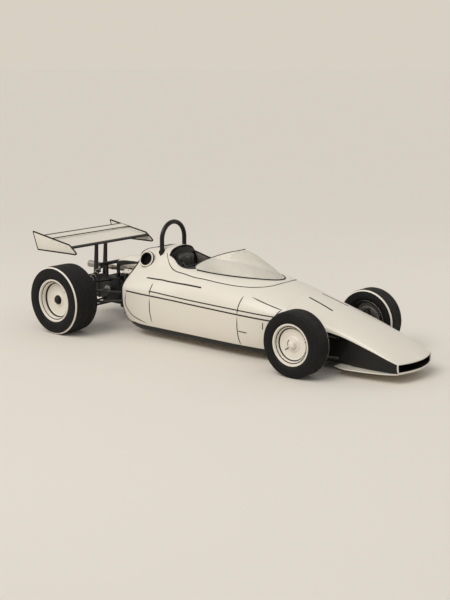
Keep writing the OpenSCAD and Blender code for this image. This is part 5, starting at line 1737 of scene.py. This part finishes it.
# the path gives place ahead of the fuel cell, height above the lowest point, and lean of the surface
seatForm = {"front": rearAxle + 0.960, "half": 0.215, "bolster": 0.095, "crown": 0.012, "floor": 0.0944,
            "pad": (0.0012, 0.0122), "puff": 0.0085, "channels": (-0.62, -0.37, -0.12, 0.12, 0.37, 0.62),
            "path": [(0.640, 0.105, -24), (0.520, 0.052, -22), (0.400, 0.014, -12), (0.300, 0, 4),
                     (0.215, 0.016, 32), (0.150, 0.078, 58), (0.115, 0.160, 68), (0.085, 0.260, 72),
                     (0.058, 0.360, 74), (0.038, 0.440, 72), (0.014, 0.505, 66), (-0.014, 0.552, 58)]}
seatRows = [tuple(row) for row in smoothPath(seatForm["path"], 6)]


def seatPoint(row, k, depth):
    form = seatForm
    rise = form["bolster"] * abs(k) ** 5 + form["crown"] * k * k - depth
    lean = radians(row[2])
    return Vector((form["front"] + row[0] + rise * sin(lean), k * (form["half"] - 0.024 * abs(k) ** 6),
                   form["floor"] + row[1] + rise * cos(lean)))


def puffed(obj, voxel, reach, held):
    # cloth under a light inner pressure, its back held and its face kept a short way from where it started
    remesh = obj.modifiers.new("remesh", "REMESH")
    remesh.mode = "VOXEL"
    remesh.voxel_size = voxel
    bake(obj)
    before = [(vert.co.copy(), held(vert.normal)) for vert in obj.data.vertices]
    cloth = obj.modifiers.new("cloth", "CLOTH")
    cloth.settings.use_pressure = True
    cloth.settings.uniform_pressure_force = 4
    cloth.settings.effector_weights.gravity = 0
    cloth.point_cache.frame_start = 1
    cloth.point_cache.frame_end = 20
    for frame in range(1, 21):
        scene.frame_set(frame)
    bake(obj)
    scene.frame_set(1)
    for vert, (start, still) in zip(obj.data.vertices, before):
        moved = vert.co - start
        vert.co = start if still else start + moved * min(1, reach / max(moved.length, 1e-9))
    obj.data.update()
    smooth = obj.modifiers.new("finer", "SUBSURF")
    smooth.levels = smooth.render_levels = 1
    return bake(obj)


def seatCrown(k):
    # how far the stuffing stands up between two sewn channels
    form = seatForm
    edges = (-0.985,) + form["channels"] + (0.985,)
    for low, high in zip(edges, edges[1:]):
        if low <= k <= high:
            t = (k - low) / (high - low)
            return form["puff"] * (1 - abs(2 * t - 1) ** 2.6)
    return 0.0


def makeSeat():
    form = seatForm
    top, under = form["pad"]
    across = spread(0.985, -0.985, 110)
    rows = seatRows[2:-2]
    face = []
    for n, row in enumerate(rows):
        swell = min(1, (n + 0.3) / 3, (len(rows) - 0.7 - n) / 3) ** 0.5
        face.append([seatPoint(row, k, top + 0.003 - seatCrown(k) * swell) for k in across])
    pad = build("seatPad", wall(face, [[seatPoint(row, k, under) for k in across] for row in rows]),
                seatHide)
    softenEdges(pad, 0.003, 3, 50)
    place(pad, "seat", angle=75)
    makeSeatTrim()


def makeSeatTrim():
    form = seatForm
    under = form["pad"][1]
    shellRows = [[seatPoint(row, k, under + 0.0004) for k in spread(1, -1, 40)] for row in seatRows]
    backRows = [[seatPoint(row, k, 0.0138) for k in spread(1, -1, 40)] for row in seatRows]
    piece("seatShell", wall(shellRows, backRows), blackTrim, angle=60)
    loop = [seatPoint(row, 0.992, 0.004) for row in seatRows]
    loop += [seatPoint(seatRows[-1], k, 0.004) for k in spread(0.97, -0.97, 30)]
    loop += [seatPoint(row, -0.992, 0.004) for row in reversed(seatRows)]
    loop += [seatPoint(seatRows[0], k, 0.004) for k in spread(-0.97, 0.97, 30)]
    piece("seatPiping", sweep(loop, 0.0048, 10, closed=True), gripHide, angle=60)
    verts, edges = [], []
    for k in form["channels"]:
        for step in (-0.030, 0.030):
            line = [seatPoint(row, k + step, 0.0040 - seatCrown(k + step)) for row in seatRows[5:-5]]
            edges += [(len(verts) + n, len(verts) + n + 1) for n in range(len(line) - 1)]
            verts += line
    stitches = grown("seatStitches", stitchTree,
                     {"Pitch": 0.009, "Thread": 0.0007, "Finish": threadFinish}, verts, edges)
    place(stitches, turnOut=False)


headrestForm = {"back": rearAxle + 0.8566, "thick": 0.060, "half": 0.105, "low": 0.610, "high": 0.752,
                "corner": 0.040, "start": 0.94, "voxel": 0.0045, "puff": 0.011, "seams": (-0.036, 0.036),
                "groove": (0.0055, 0.0060)}


def headrestOutline(scale, segments=10):
    form = headrestForm
    middle = (form["low"] + form["high"]) / 2
    wide, tall = form["half"] - form["corner"], (form["high"] - form["low"]) / 2 - form["corner"]
    ring = []
    for turn, (sy, sz) in enumerate(((1, 1), (-1, 1), (-1, -1), (1, -1))):
        for a in spread(90 * turn, 90 * turn + 90, segments):
            t = radians(a)
            ring.append((scale * (sy * wide + form["corner"] * cos(t)),
                         middle + scale * (sz * tall + form["corner"] * sin(t))))
    return ring


def makeHeadrest():
    form = headrestForm
    rows = []
    for depth, scale in ((0.0, 0.99), (0.55, 1.0), (0.80, 0.985), (0.93, 0.93), (1.0, 0.80)):
        rows.append([(form["back"] + form["thick"] * form["start"] * depth, y, z)
                     for y, z in headrestOutline(form["start"] * scale)])
    pad = build("headrestPad", capped(rows), seatHide)
    softenEdges(pad, 0.006, 3, 40)
    puffed(pad, form["voxel"], form["puff"], lambda normal: normal.x < -0.8)
    depth, width = form["groove"]
    for vert in pad.data.vertices:
        vert.co.x = max(vert.co.x, form["back"])
        if vert.co.x < form["back"] + 0.012:
            continue
        for y in form["seams"]:
            away = (vert.co.y - y) / width
            vert.co -= vert.normal * depth * exp(-away * away)
    pad.data.update()
    place(pad, "headrest")
    ring = [(form["back"] + 0.006, y, z) for y, z in headrestOutline(0.995)]
    piece("headrestPiping", planarTube(ring, (1, 0, 0), 0.0042, 10, closed=True), gripHide, angle=60)


makeSeat()
makeHeadrest()
print("seat and headrest made")


# Harness: straps that lie on the seat, with adjusters and a round buckle

beltForm = {"width": 0.046, "thick": 0.0022, "lift": 0.0075, "buckleRow": 22, "shoulder": 0.36}


def strap(name, path, facings):
    # a flat strap with its length and width as texture coordinates
    form = beltForm
    half = form["width"] / 2
    verts, faces, along = [], [], [0.0]
    for k, point in enumerate(path):
        across = alongAt(path, k).cross(Vector(facings[k])).normalized()
        verts += [Vector(point) - across * half, Vector(point), Vector(point) + across * half]
        if k:
            along.append(along[-1] + (Vector(point) - Vector(path[k - 1])).length)
    for k in range(len(path) - 1):
        faces += [(3 * k + s, 3 * k + s + 1, 3 * k + s + 4, 3 * k + s + 3) for s in (0, 1)]
    obj = build(name, (verts, faces), webbing)
    layer = obj.data.uv_layers.new(name="UVMap")
    for loop in obj.data.loops:
        row, column = divmod(loop.vertex_index, 3)
        layer.data[loop.index].uv = (along[row], (column - 1) * half)
    solid = obj.modifiers.new("solidify", "SOLIDIFY")
    solid.thickness = form["thick"]
    solid.offset = 0
    bake(obj)
    place(obj, turnOut=False)


def seatFacing(row):
    lean = radians(row[2])
    return Vector((sin(lean), 0, cos(lean)))


def makeHarness():
    form = beltForm
    lift, middle = form["lift"], form["buckleRow"]
    wallFace = rearAxle + 0.8575
    for side, tag in ((1, "Left"), (-1, "Right")):
        k = side * form["shoulder"]
        y = k * seatForm["half"]
        path = [Vector((wallFace + x, y, z))
                for x, z in ((0.0016, 0.560), (0.008, 0.566), (0.045, 0.592), (0.072, 0.628))]
        facings = [Vector((-0.4, 0, 1))] * 2 + [Vector((-0.6, 0, 0.8))] * 2
        rows = list(reversed(seatRows[middle + 3:]))
        for n, row in enumerate(rows):
            share = n / (len(rows) - 1)
            path.append(seatPoint(row, k * (1 - 0.72 * share ** 1.6), -lift))
            facings.append(seatFacing(row))
        strap("shoulderStrap" + tag, path, facings)
        row = seatRows[middle]
        lap = [seatPoint(row, side * s, -lift) for s in spread(0.90, 0.14, 14)]
        strap("lapStrap" + tag, lap, [seatFacing(row)] * len(lap))
    rows = seatRows[middle - 2:11:-1]
    strap("crotchStrap", [seatPoint(row, 0, -lift) for row in rows], [seatFacing(row) for row in rows])
    makeBuckles()


def seatFrame(row, k, lift):
    # a frame on the seat whose Z axis stands off it and whose X axis runs along it
    up = seatFacing(row)
    along = Vector((up.z, 0, -up.x))
    turn = Matrix((along, up.cross(along), up)).transposed().to_4x4()
    return shift(seatPoint(row, k, -lift)) @ turn


def makeBuckles():
    form = beltForm
    centre = seatFrame(seatRows[form["buckleRow"]], 0, form["lift"] - 0.001)
    body = onFrame(disc(eased([(0.0, 0.014), (0.022, 0.014), (0.030, 0.010), (0.034, 0.0), (0.0, 0.0)],
                              0.002, False), 48), centre)
    lever = onFrame(block((-0.006, -0.027, 0.0135), (0.006, 0.027, 0.0185)), centre)
    slots = []
    spots = [(46, side * form["shoulder"] * 0.92, 0) for side in (1, -1)]
    spots += [(form["buckleRow"], side * 0.52, 90) for side in (1, -1)]
    for row, k, turn in spots:
        frame = seatFrame(seatRows[row], k, form["lift"]) @ turnOn("Z", turn)
        for x in (-0.014, 0.0, 0.014):
            slots.append(onFrame(rod((x, -0.027, 0.0025), (x, 0.027, 0.0025), 0.0028, 12), frame))
        for y in (-0.0275, 0.0275):
            slots.append(onFrame(block((-0.017, y - 0.003, -0.001), (0.017, y + 0.003, 0.0055)), frame))
    piece("harnessBuckles", join(body, lever, *slots), bareSteel, edge=0.0008)


makeHarness()
print("harness made")


# Steering wheel, dashboard and gear lever

wheelRim = {"centre": (frontAxle - 0.955, 0, 0.578), "tilt": 104, "radius": 0.128, "grip": 0.013,
            "spoke": (0.014, 0.004), "hub": 0.034, "shaft": (0.012, 0.300)}


def makeSteeringWheel():
    form = wheelRim
    frame = shift(form["centre"]) @ turnOn("Y", form["tilt"])
    turns = 120
    rim = [(x, y, 0) for x, y in circle(form["radius"], turns)]
    grip = planarTube(rim, (0, 0, 1), form["grip"], 20, closed=True)
    piece("steeringGrip", onFrame(grip, frame), gripHide, "steering_wheel", angle=60, body="steering_wheel")
    half, thick = form["spoke"]
    spokes, holes = [], []
    for a in (0, 120, 240):
        turn = turnOn("Z", a)
        spokes.append(onFrame(block((0.020, -half, -thick), (form["radius"] - 0.004, half, thick)), turn))
        for x, r in ((0.052, 0.0078), (0.074, 0.0068), (0.094, 0.0058)):
            holes.append(onFrame(collar(0, r, -0.02, 0.02, 24),
                                 turn @ shift((x, 0, 0))))
    plate = build("steeringSpokes", onFrame(join(*spokes), frame), brightAlloy)
    cutOut(plate, onFrame(join(*holes), frame), turnOut=False)
    softenEdges(plate, 0.0010, 2, 40)
    place(plate, body="steering_wheel")
    radius, length = form["shaft"]
    hub = disc(eased([(0, -0.010), (0.022, -0.012), (form["hub"], -0.008), (form["hub"], 0.018),
                      (radius, 0.020), (radius, length), (0, length)], 0.003, False), 48)
    piece("steeringHub", onFrame(hub, frame), darkSteel, angle=45, body="steering_wheel")
    facing = -frame.to_3x3().col[2]
    spots = [(frame @ Vector((x, y, -0.0105)), facing) for x, y in circle(0.026, 6, pi / 6)]
    heads("hubScrews", spots, bareSteel, 0.0034, 0.0028, 6, 0.9, body="steering_wheel")
    inner = form["radius"] - form["grip"] - 0.0002
    ring = [frame @ Vector((x, y, 0)) for x, y in circle(inner, turns)]
    stitches = grown("gripStitches", stitchTree,
                     {"Pitch": 0.0075, "Thread": 0.0008, "Finish": threadFinish}, ring,
                     [(n, (n + 1) % turns) for n in range(turns)])
    place(stitches, turnOut=False, body="steering_wheel")


dashForm = {"face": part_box("dashboard")[0].x,
            # place across the car, height, radius, needle's turn
            "dials": [(0.0, 0.607, 0.040, 140), (0.092, 0.590, 0.029, 60), (-0.092, 0.590, 0.029, 95),
                      (0.160, 0.560, 0.022, 30), (-0.160, 0.560, 0.022, 110)],
            "switches": [(0.075, 0.520), (0.105, 0.515), (-0.075, 0.520), (-0.105, 0.515)]}


def makeDashboard():
    form = dashForm
    rings, faces, marks = [], [], []
    for y, z, radius, needle in form["dials"]:
        frame = shift((form["face"], y, z)) @ turnOn("Y", -90)
        rings.append(onFrame(disc(eased([(radius, -0.002), (radius, 0.007), (radius - 0.0045, 0.009),
                                         (radius - 0.0060, 0.003), (radius - 0.0060, -0.002)], 0.001),
                                  48), frame))
        faces.append(onFrame(collar(0, radius - 0.0055, -0.001, 0.0022, 40), frame))
        for n in range(21):
            turn = turnOn("Z", -135 + 13.5 * n)
            inner = radius - (0.0125 if n % 5 == 0 else 0.0100)
            marks.append(onFrame(block((inner, -0.0005, 0.0021), (radius - 0.0072, 0.0005, 0.0026)),
                                 frame @ turn))
        marks.append(onFrame(block((-0.006, -0.0007, 0.0034), (radius - 0.011, 0.0007, 0.0041)),
                             frame @ turnOn("Z", needle)))
    piece("dialBezels", join(*rings), brightAlloy, angle=45)
    piece("dialFaces", join(*faces), dialFace, angle=45)
    piece("dialMarks", join(*marks), rimPaintAndHighlight, angle=30, slot="body_paint")
    toggles = []
    for y, z in form["switches"]:
        toggles.append(rod((form["face"] + 0.001, y, z), (form["face"] - 0.006, y, z), 0.0065, 6))
        toggles.append(rod((form["face"] - 0.004, y, z), (form["face"] - 0.019, y, z + 0.006), 0.0022, 12))
    piece("dashSwitches", join(*toggles), bareSteel, angle=30)


def makeGearLever():
    x, y = rearAxle + 1.480, -0.248
    bracket = block((x - 0.050, y - 0.022, 0.300), (x + 0.050, y - 0.010, 0.352))
    pivot = rod((x, y - 0.012, 0.326), (x, y + 0.010, 0.326), 0.011, 24)
    stick = sweep(smoothPath([(x, y + 0.004, 0.318), (x - 0.006, y + 0.008, 0.365),
                              (x - 0.020, y + 0.012, 0.412)], 6), 0.0052, 14)
    piece("gearLever", join(bracket, pivot, stick), darkSteel, edge=0.001)
    piece("gearKnob", onFrame(disc(ballOutline(0.015, 18), 32), shift((x - 0.021, y + 0.0125, 0.421))),
          blackTrim, angle=60)


makeSteeringWheel()
makeDashboard()
makeGearLever()
print("cockpit controls made")


# Engine: painted cam covers, studs, plug caps, fuel rail, trumpets and exhaust flanges

engineForm = {"rear": rearAxle + 0.120, "front": rearAxle + 0.6896, "cam": 0.0384, "camY": 0.058,
              "camZ": 0.490, "inset": 0.030, "head": 0.115, "headZ": 0.490, "block": 0.105}
trumpetForm = {"places": [rearAxle + d for d in (0.185, 0.300, 0.415, 0.530)], "foot": (-0.1154, 0.446),
               "tilt": 62, "radius": 0.022, "length": 0.088, "mouth": 0.034, "flare": 0.063,
               "bore": 0.0172}
exhaustForm = {"y": 0.151, "z": 0.466}


def makeCamCovers():
    form = engineForm
    low, high = form["rear"] + form["inset"], form["front"] - form["inset"]
    ring = [(form["cam"] * cos(radians(a)), form["cam"] * sin(radians(a))) for a in spread(-14, 194, 40)]
    stations = [(low - 0.0003, 0.90), (low + 0.003, 1.0)]
    stations += [(x, 1.0) for x in spread(low + 0.02, high - 0.02, 12)]
    stations += [(high - 0.003, 1.0), (high + 0.0003, 0.90)]
    covers = []
    for y in (form["camY"], -form["camY"]):
        rows = [[(x, y + across * s, form["camZ"] + up * s) for across, up in ring] for x, s in stations]
        covers.append(capped(rows))
    piece("camCovers", join(*covers), creamPaint, angle=45)
    studs = []
    for x in spread(low + 0.012, high - 0.012, 9):
        for y in (form["camY"], -form["camY"]):
            for turn in (-40, 40):
                out = Vector((0, sin(radians(turn)), cos(radians(turn))))
                studs.append((Vector((x, y, form["camZ"])) + out * (form["cam"] - 0.0004), out))
    heads("camStuds", [s for s in studs if s[0].z < 0.5235], blackPaintAndShade, 0.0046, 0.0034, 6, 0.9)


def makeEngineTrim():
    form = engineForm
    caps, leads = [], []
    for x in trumpetForm["places"]:
        caps.append(onFrame(disc([(0, 0), (0.0095, 0), (0.0095, 0.010), (0.007, 0.014), (0, 0.016)], 20),
                            shift((x + 0.022, 0, form["headZ"] + 0.002))))
        leads.append(sweep(smoothPath([(x + 0.022, 0, form["headZ"] + 0.014),
                                       (x + 0.030, 0.004, form["headZ"] + 0.026),
                                       (x + 0.055, 0.006, form["headZ"] + 0.030),
                                       (form["front"] - 0.020, 0.006, form["headZ"] + 0.026)], 8), 0.0032,
                           10))
    piece("plugLeads", join(*caps, *leads), blackTrim, angle=45)
    rail = rod((trumpetForm["places"][0] - 0.03, -0.1285, 0.418),
               (trumpetForm["places"][-1] + 0.03, -0.1285, 0.418), 0.0075, 18)
    feeds = [rod((x, -0.1285, 0.418), (x, -0.1185, 0.432), 0.0045, 12) for x in trumpetForm["places"]]
    piece("fuelRail", join(rail, *feeds), darkSteel, angle=40)
    spots = []
    low, high = form["rear"] + 0.02, form["front"] - 0.02
    for side in (1, -1):
        spots += [((x, side * form["head"], 0.408), (0, side, 0)) for x in spread(low, high, 11)]
        spots += [((x, side * form["block"], z), (0, side, 0)) for x in spread(low, high, 9)
                  for z in (0.168, 0.385)]
    heads("engineBolts", spots, darkSteel, 0.0062, 0.0052, 6, 0.9)
    core = [((x, side * form["block"], 0.280), (0, side, 0)) for side in (1, -1)
            for x in spread(form["rear"] + 0.08, form["front"] - 0.08, 5)]
    heads("corePlugs", core, castMetal, 0.021, 0.0028, 28, 0.85)


def makeTrumpets():
    form = trumpetForm
    throat, bell, lip = form["radius"], form["mouth"], form["length"]
    start = form["flare"]
    outer = [(throat, 0.0), (throat, start)] + [
        (throat + (bell - throat) * t ** 2, start + (lip - start) * t) for t in spread(0, 1, 8)[1:]]
    inner = [(bell - 0.0022, lip + 0.0006)] + [(form["bore"] + (bell - 0.004 - form["bore"]) * t ** 2,
                                                start + (lip - start) * t)
                                               for t in reversed(spread(0, 1, 8)[:-1])]
    outline = outer + inner + [(form["bore"], 0.0)]
    horns, clamps = [], []
    for x in form["places"]:
        frame = shift((x, *form["foot"])) @ turnOn("X", form["tilt"])
        horns.append(onFrame(disc(outline, 40), frame))
        clamps.append(onFrame(collar(throat - 0.001, throat + 0.0035, 0.004, 0.012, 32), frame))
    piece("intakeTrumpets", join(*horns), darkSteel, "intake_trumpets", angle=45)
    piece("trumpetClamps", join(*clamps), blackTrim, angle=40)


def makeExhaustTrim():
    form = exhaustForm
    flanges, spots = [], []
    for x in trumpetForm["places"]:
        flanges.append(block((x - 0.033, engineForm["head"] + 0.0002, form["z"] - 0.022),
                             (x + 0.033, engineForm["head"] + 0.0072, form["z"] + 0.022)))
        spots += [((x + d, engineForm["head"] + 0.007, form["z"]), (0, 1, 0)) for d in (-0.026, 0.026)]
    for x in (rearAxle + 0.06, rearAxle - 0.235):
        pipe = shift((x, form["y"], form["z"])) @ turnOn("Y", 90)
        flanges.append(onFrame(collar(0.0215, 0.0255, -0.008, 0.008, 40), pipe))
    piece("exhaustFlanges", join(*flanges), exhaustSteel, edge=0.0012)
    heads("exhaustNuts", spots, bareSteel, 0.0052, 0.0060, 6, 0.9)


def makeGearboxTrim():
    rear = rearAxle - 0.425
    spots = [((rear, y, z), (-1, 0, 0)) for z in spread(0.222, 0.378, 4) for y in (-0.079, 0.079)]
    spots += [((rear, y, z), (-1, 0, 0)) for y in (-0.045, 0.0, 0.045) for z in (0.213, 0.387)]
    spots += [((x, side * 0.115, z), (0, side, 0)) for side in (1, -1)
              for x in spread(rearAxle - 0.100, rearAxle + 0.105, 6) for z in (0.192, 0.418)]
    heads("gearboxNuts", spots, darkSteel, 0.0056, 0.0062, 6, 0.9)
    cover = onFrame(disc(eased([(0, 0), (0.050, 0), (0.050, 0.006), (0.034, 0.016), (0, 0.016)], 0.003,
                               False), 48), shift((rearAxle - 0.4249, 0, 0.300)) @ turnOn("Y", -90))
    piece("gearboxCap", cover, castMetal, angle=45)


makeCamCovers()
makeEngineTrim()
makeTrumpets()
makeExhaustTrim()
makeGearboxTrim()
print("engine details made")


# Dampers with coil springs between their platforms

frontDamper = {"foot": (frontAxle + 0.054, 0.4175, 0.1843), "head": (frontAxle + 0.054, 0.2474, 0.292),
               "turns": 8}
rearDamper = {"foot": (rearAxle - 0.085, 0.6297, 0.222), "head": (rearAxle - 0.085, 0.150, 0.5276),
              "turns": 13}
damperShape = {"eye": 0.012, "rod": 0.0075, "body": 0.015, "plate": 0.0265, "coil": 0.0232, "wire": 0.0036}


def makeDampers(tag, damper, node):
    form = damperShape
    foot, head = Vector(damper["foot"]), Vector(damper["head"])
    length = (head - foot).length
    frame = shift(foot) @ Vector((0, 0, 1)).rotation_difference(head - foot).to_matrix().to_4x4()
    ball = ballOutline(form["eye"], 14)
    slim, wide = form["rod"], form["body"]
    tube = [(0, 0), (slim, 0), (slim, 0.026), (wide, 0.026), (wide, length - 0.034), (slim, length - 0.030),
            (slim, length), (0, length)]
    low, high = 0.040, length - 0.050
    collars = [collar(wide - 0.001, form["plate"], z - 0.004, z + 0.001, 36)
               for z in (low + 0.003, high + 0.003)]
    rings = [collar(wide - 0.001, wide + 0.004, z, z + 0.006, 8) for z in (low - 0.009, high + 0.005)]
    eyes = [disc(ball, 24), onFrame(disc(ball, 24), shift((0, 0, length)))]
    bodyPart = onFrame(join(disc(tube, 36), *collars, *rings, *eyes), frame)
    piece(tag + "DamperBodies", bothSides(bodyPart), darkSteel, node, angle=40)
    coil = grown(tag + "Coil", springTree,
                 {"Turns": damper["turns"], "Coil Radius": form["coil"], "Finish": bareSteel,
                  "Wire Radius": form["wire"], "Length": high - low - 0.008})
    verts = [tuple(frame @ (vert.co + Vector((0, 0, low + 0.005)))) for vert in coil.data.vertices]
    spring = verts, [list(face.vertices) for face in coil.data.polygons]
    bpy.data.objects.remove(coil)
    piece(tag + "Springs", bothSides(spring), bareSteel, angle=60)


makeDampers("front", frontDamper, "front_dampers")
makeDampers("rear", rearDamper, "rear_dampers")


# Fasteners: screws along the body's joints, rivets on the firewall, nuts on the suspension

def skinSpots(x, angles):
    spots = []
    for a in angles:
        here, out = skinPoint("upper", x, a)
        spots += [((here.x, side * here.y, here.z), (out.x, side * out.y, out.z)) for side in (1, -1)]
    return spots


def makeFasteners():
    spots = skinSpots(coverJoint - 0.016, (8, 24, 40))
    spots += skinSpots(noseJoint + 0.016, (10, 30, 50, 68, 84))
    spots += skinSpots(noseJoint - 0.016, (10, 30, 50, 68, 84))
    heads("bodyScrews", spots, creamPaint, 0.0052, 0.0012, 16, 0.8)
    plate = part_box("firewall")[1].x
    wallSpots = [((plate, y, z), (1, 0, 0)) for z in (0.44, 0.49, 0.54, 0.59) for y in (-0.205, 0.205)]
    wallSpots += [((plate, y, 0.425), (1, 0, 0)) for y in spread(-0.18, 0.18, 7)]
    heads("firewallRivets", wallSpots, blackPaintAndShade, 0.0046, 0.0022, 12, 0.6)


def makeJointNuts():
    spots = [((x + end * 0.022, side * 0.2484, z), (end, 0, 0)) for side in (1, -1)
             for x in (frontAxle + 0.180, frontAxle - 0.180) for z in (0.290, 0.120) for end in (1, -1)]
    heads("bushNuts", spots, bareSteel, 0.0085, 0.0060, 6, 0.95)
    caps = [((frontAxle, side * 0.490, 0.274 + end * 0.1135), (0, 0, end)) for side in (1, -1)
            for end in (1, -1)]
    heads("kingpinNuts", caps, bareSteel, 0.0100, 0.0060, 6, 0.95)


makeFasteners()
makeJointNuts()
print("dampers and fasteners made")


# What keeps its own solid, with rounded edges

keptSolids = [  # node, finish, edge
    # the footbox is painted black as painted shade under the nose's deck
    ("footbox", blackPaintAndShade, 0.004), ("firewall", blackPaintAndShade, 0.0015), ("dashboard", blackPaintAndShade, 0.002),
    ("radiator", castMetal, 0.0008), ("engine", castMetal, 0.003), ("exhaust", exhaustSteel, 0.001),
    ("gearbox", castMetal, 0.003), ("wing_pylons", blackPaintAndShade, 0.0015), ("rack_housing", castMetal, 0.001),
    ("rear_uprights", castMetal, 0.0015),
]
for node, finish, edge in keptSolids:
    dressed(node, finish, edge)
for node in ("front_wishbones", "rear_links"):
    dressed(node, darkSteel, 0.0008, slot="black_paint")
dressed("steering_rack", bareSteel, 0.0008, body="steering_rack")
for sideWord in ("left", "right"):
    dressed(f"front_upright_{sideWord}", castMetal, 0.0015, body=f"knuckle_{sideWord}")
print("kept solids dressed")


# Floor

def makeFloor():
    size, colour = 400, stageLook["floor"]
    pale = startFinish("paleFloor", "",
                       {"Colour": rgb(*colour), "Worn": rgb(*[c * 0.97 for c in colour]),
                        "Patch Scale": 0.6, "Fine Scale": 30, "Wear": 0.0, "Smooth": 0.85, "Rough": 0.95},
                       0.02, 0.001)[0]
    corners = [(-size, -size, 0), (size, -size, 0), (size, size, 0), (-size, size, 0)]
    floor = build("floor", (corners, [[0, 1, 2, 3]]), pale)


makeFloor()
print("scene ready")
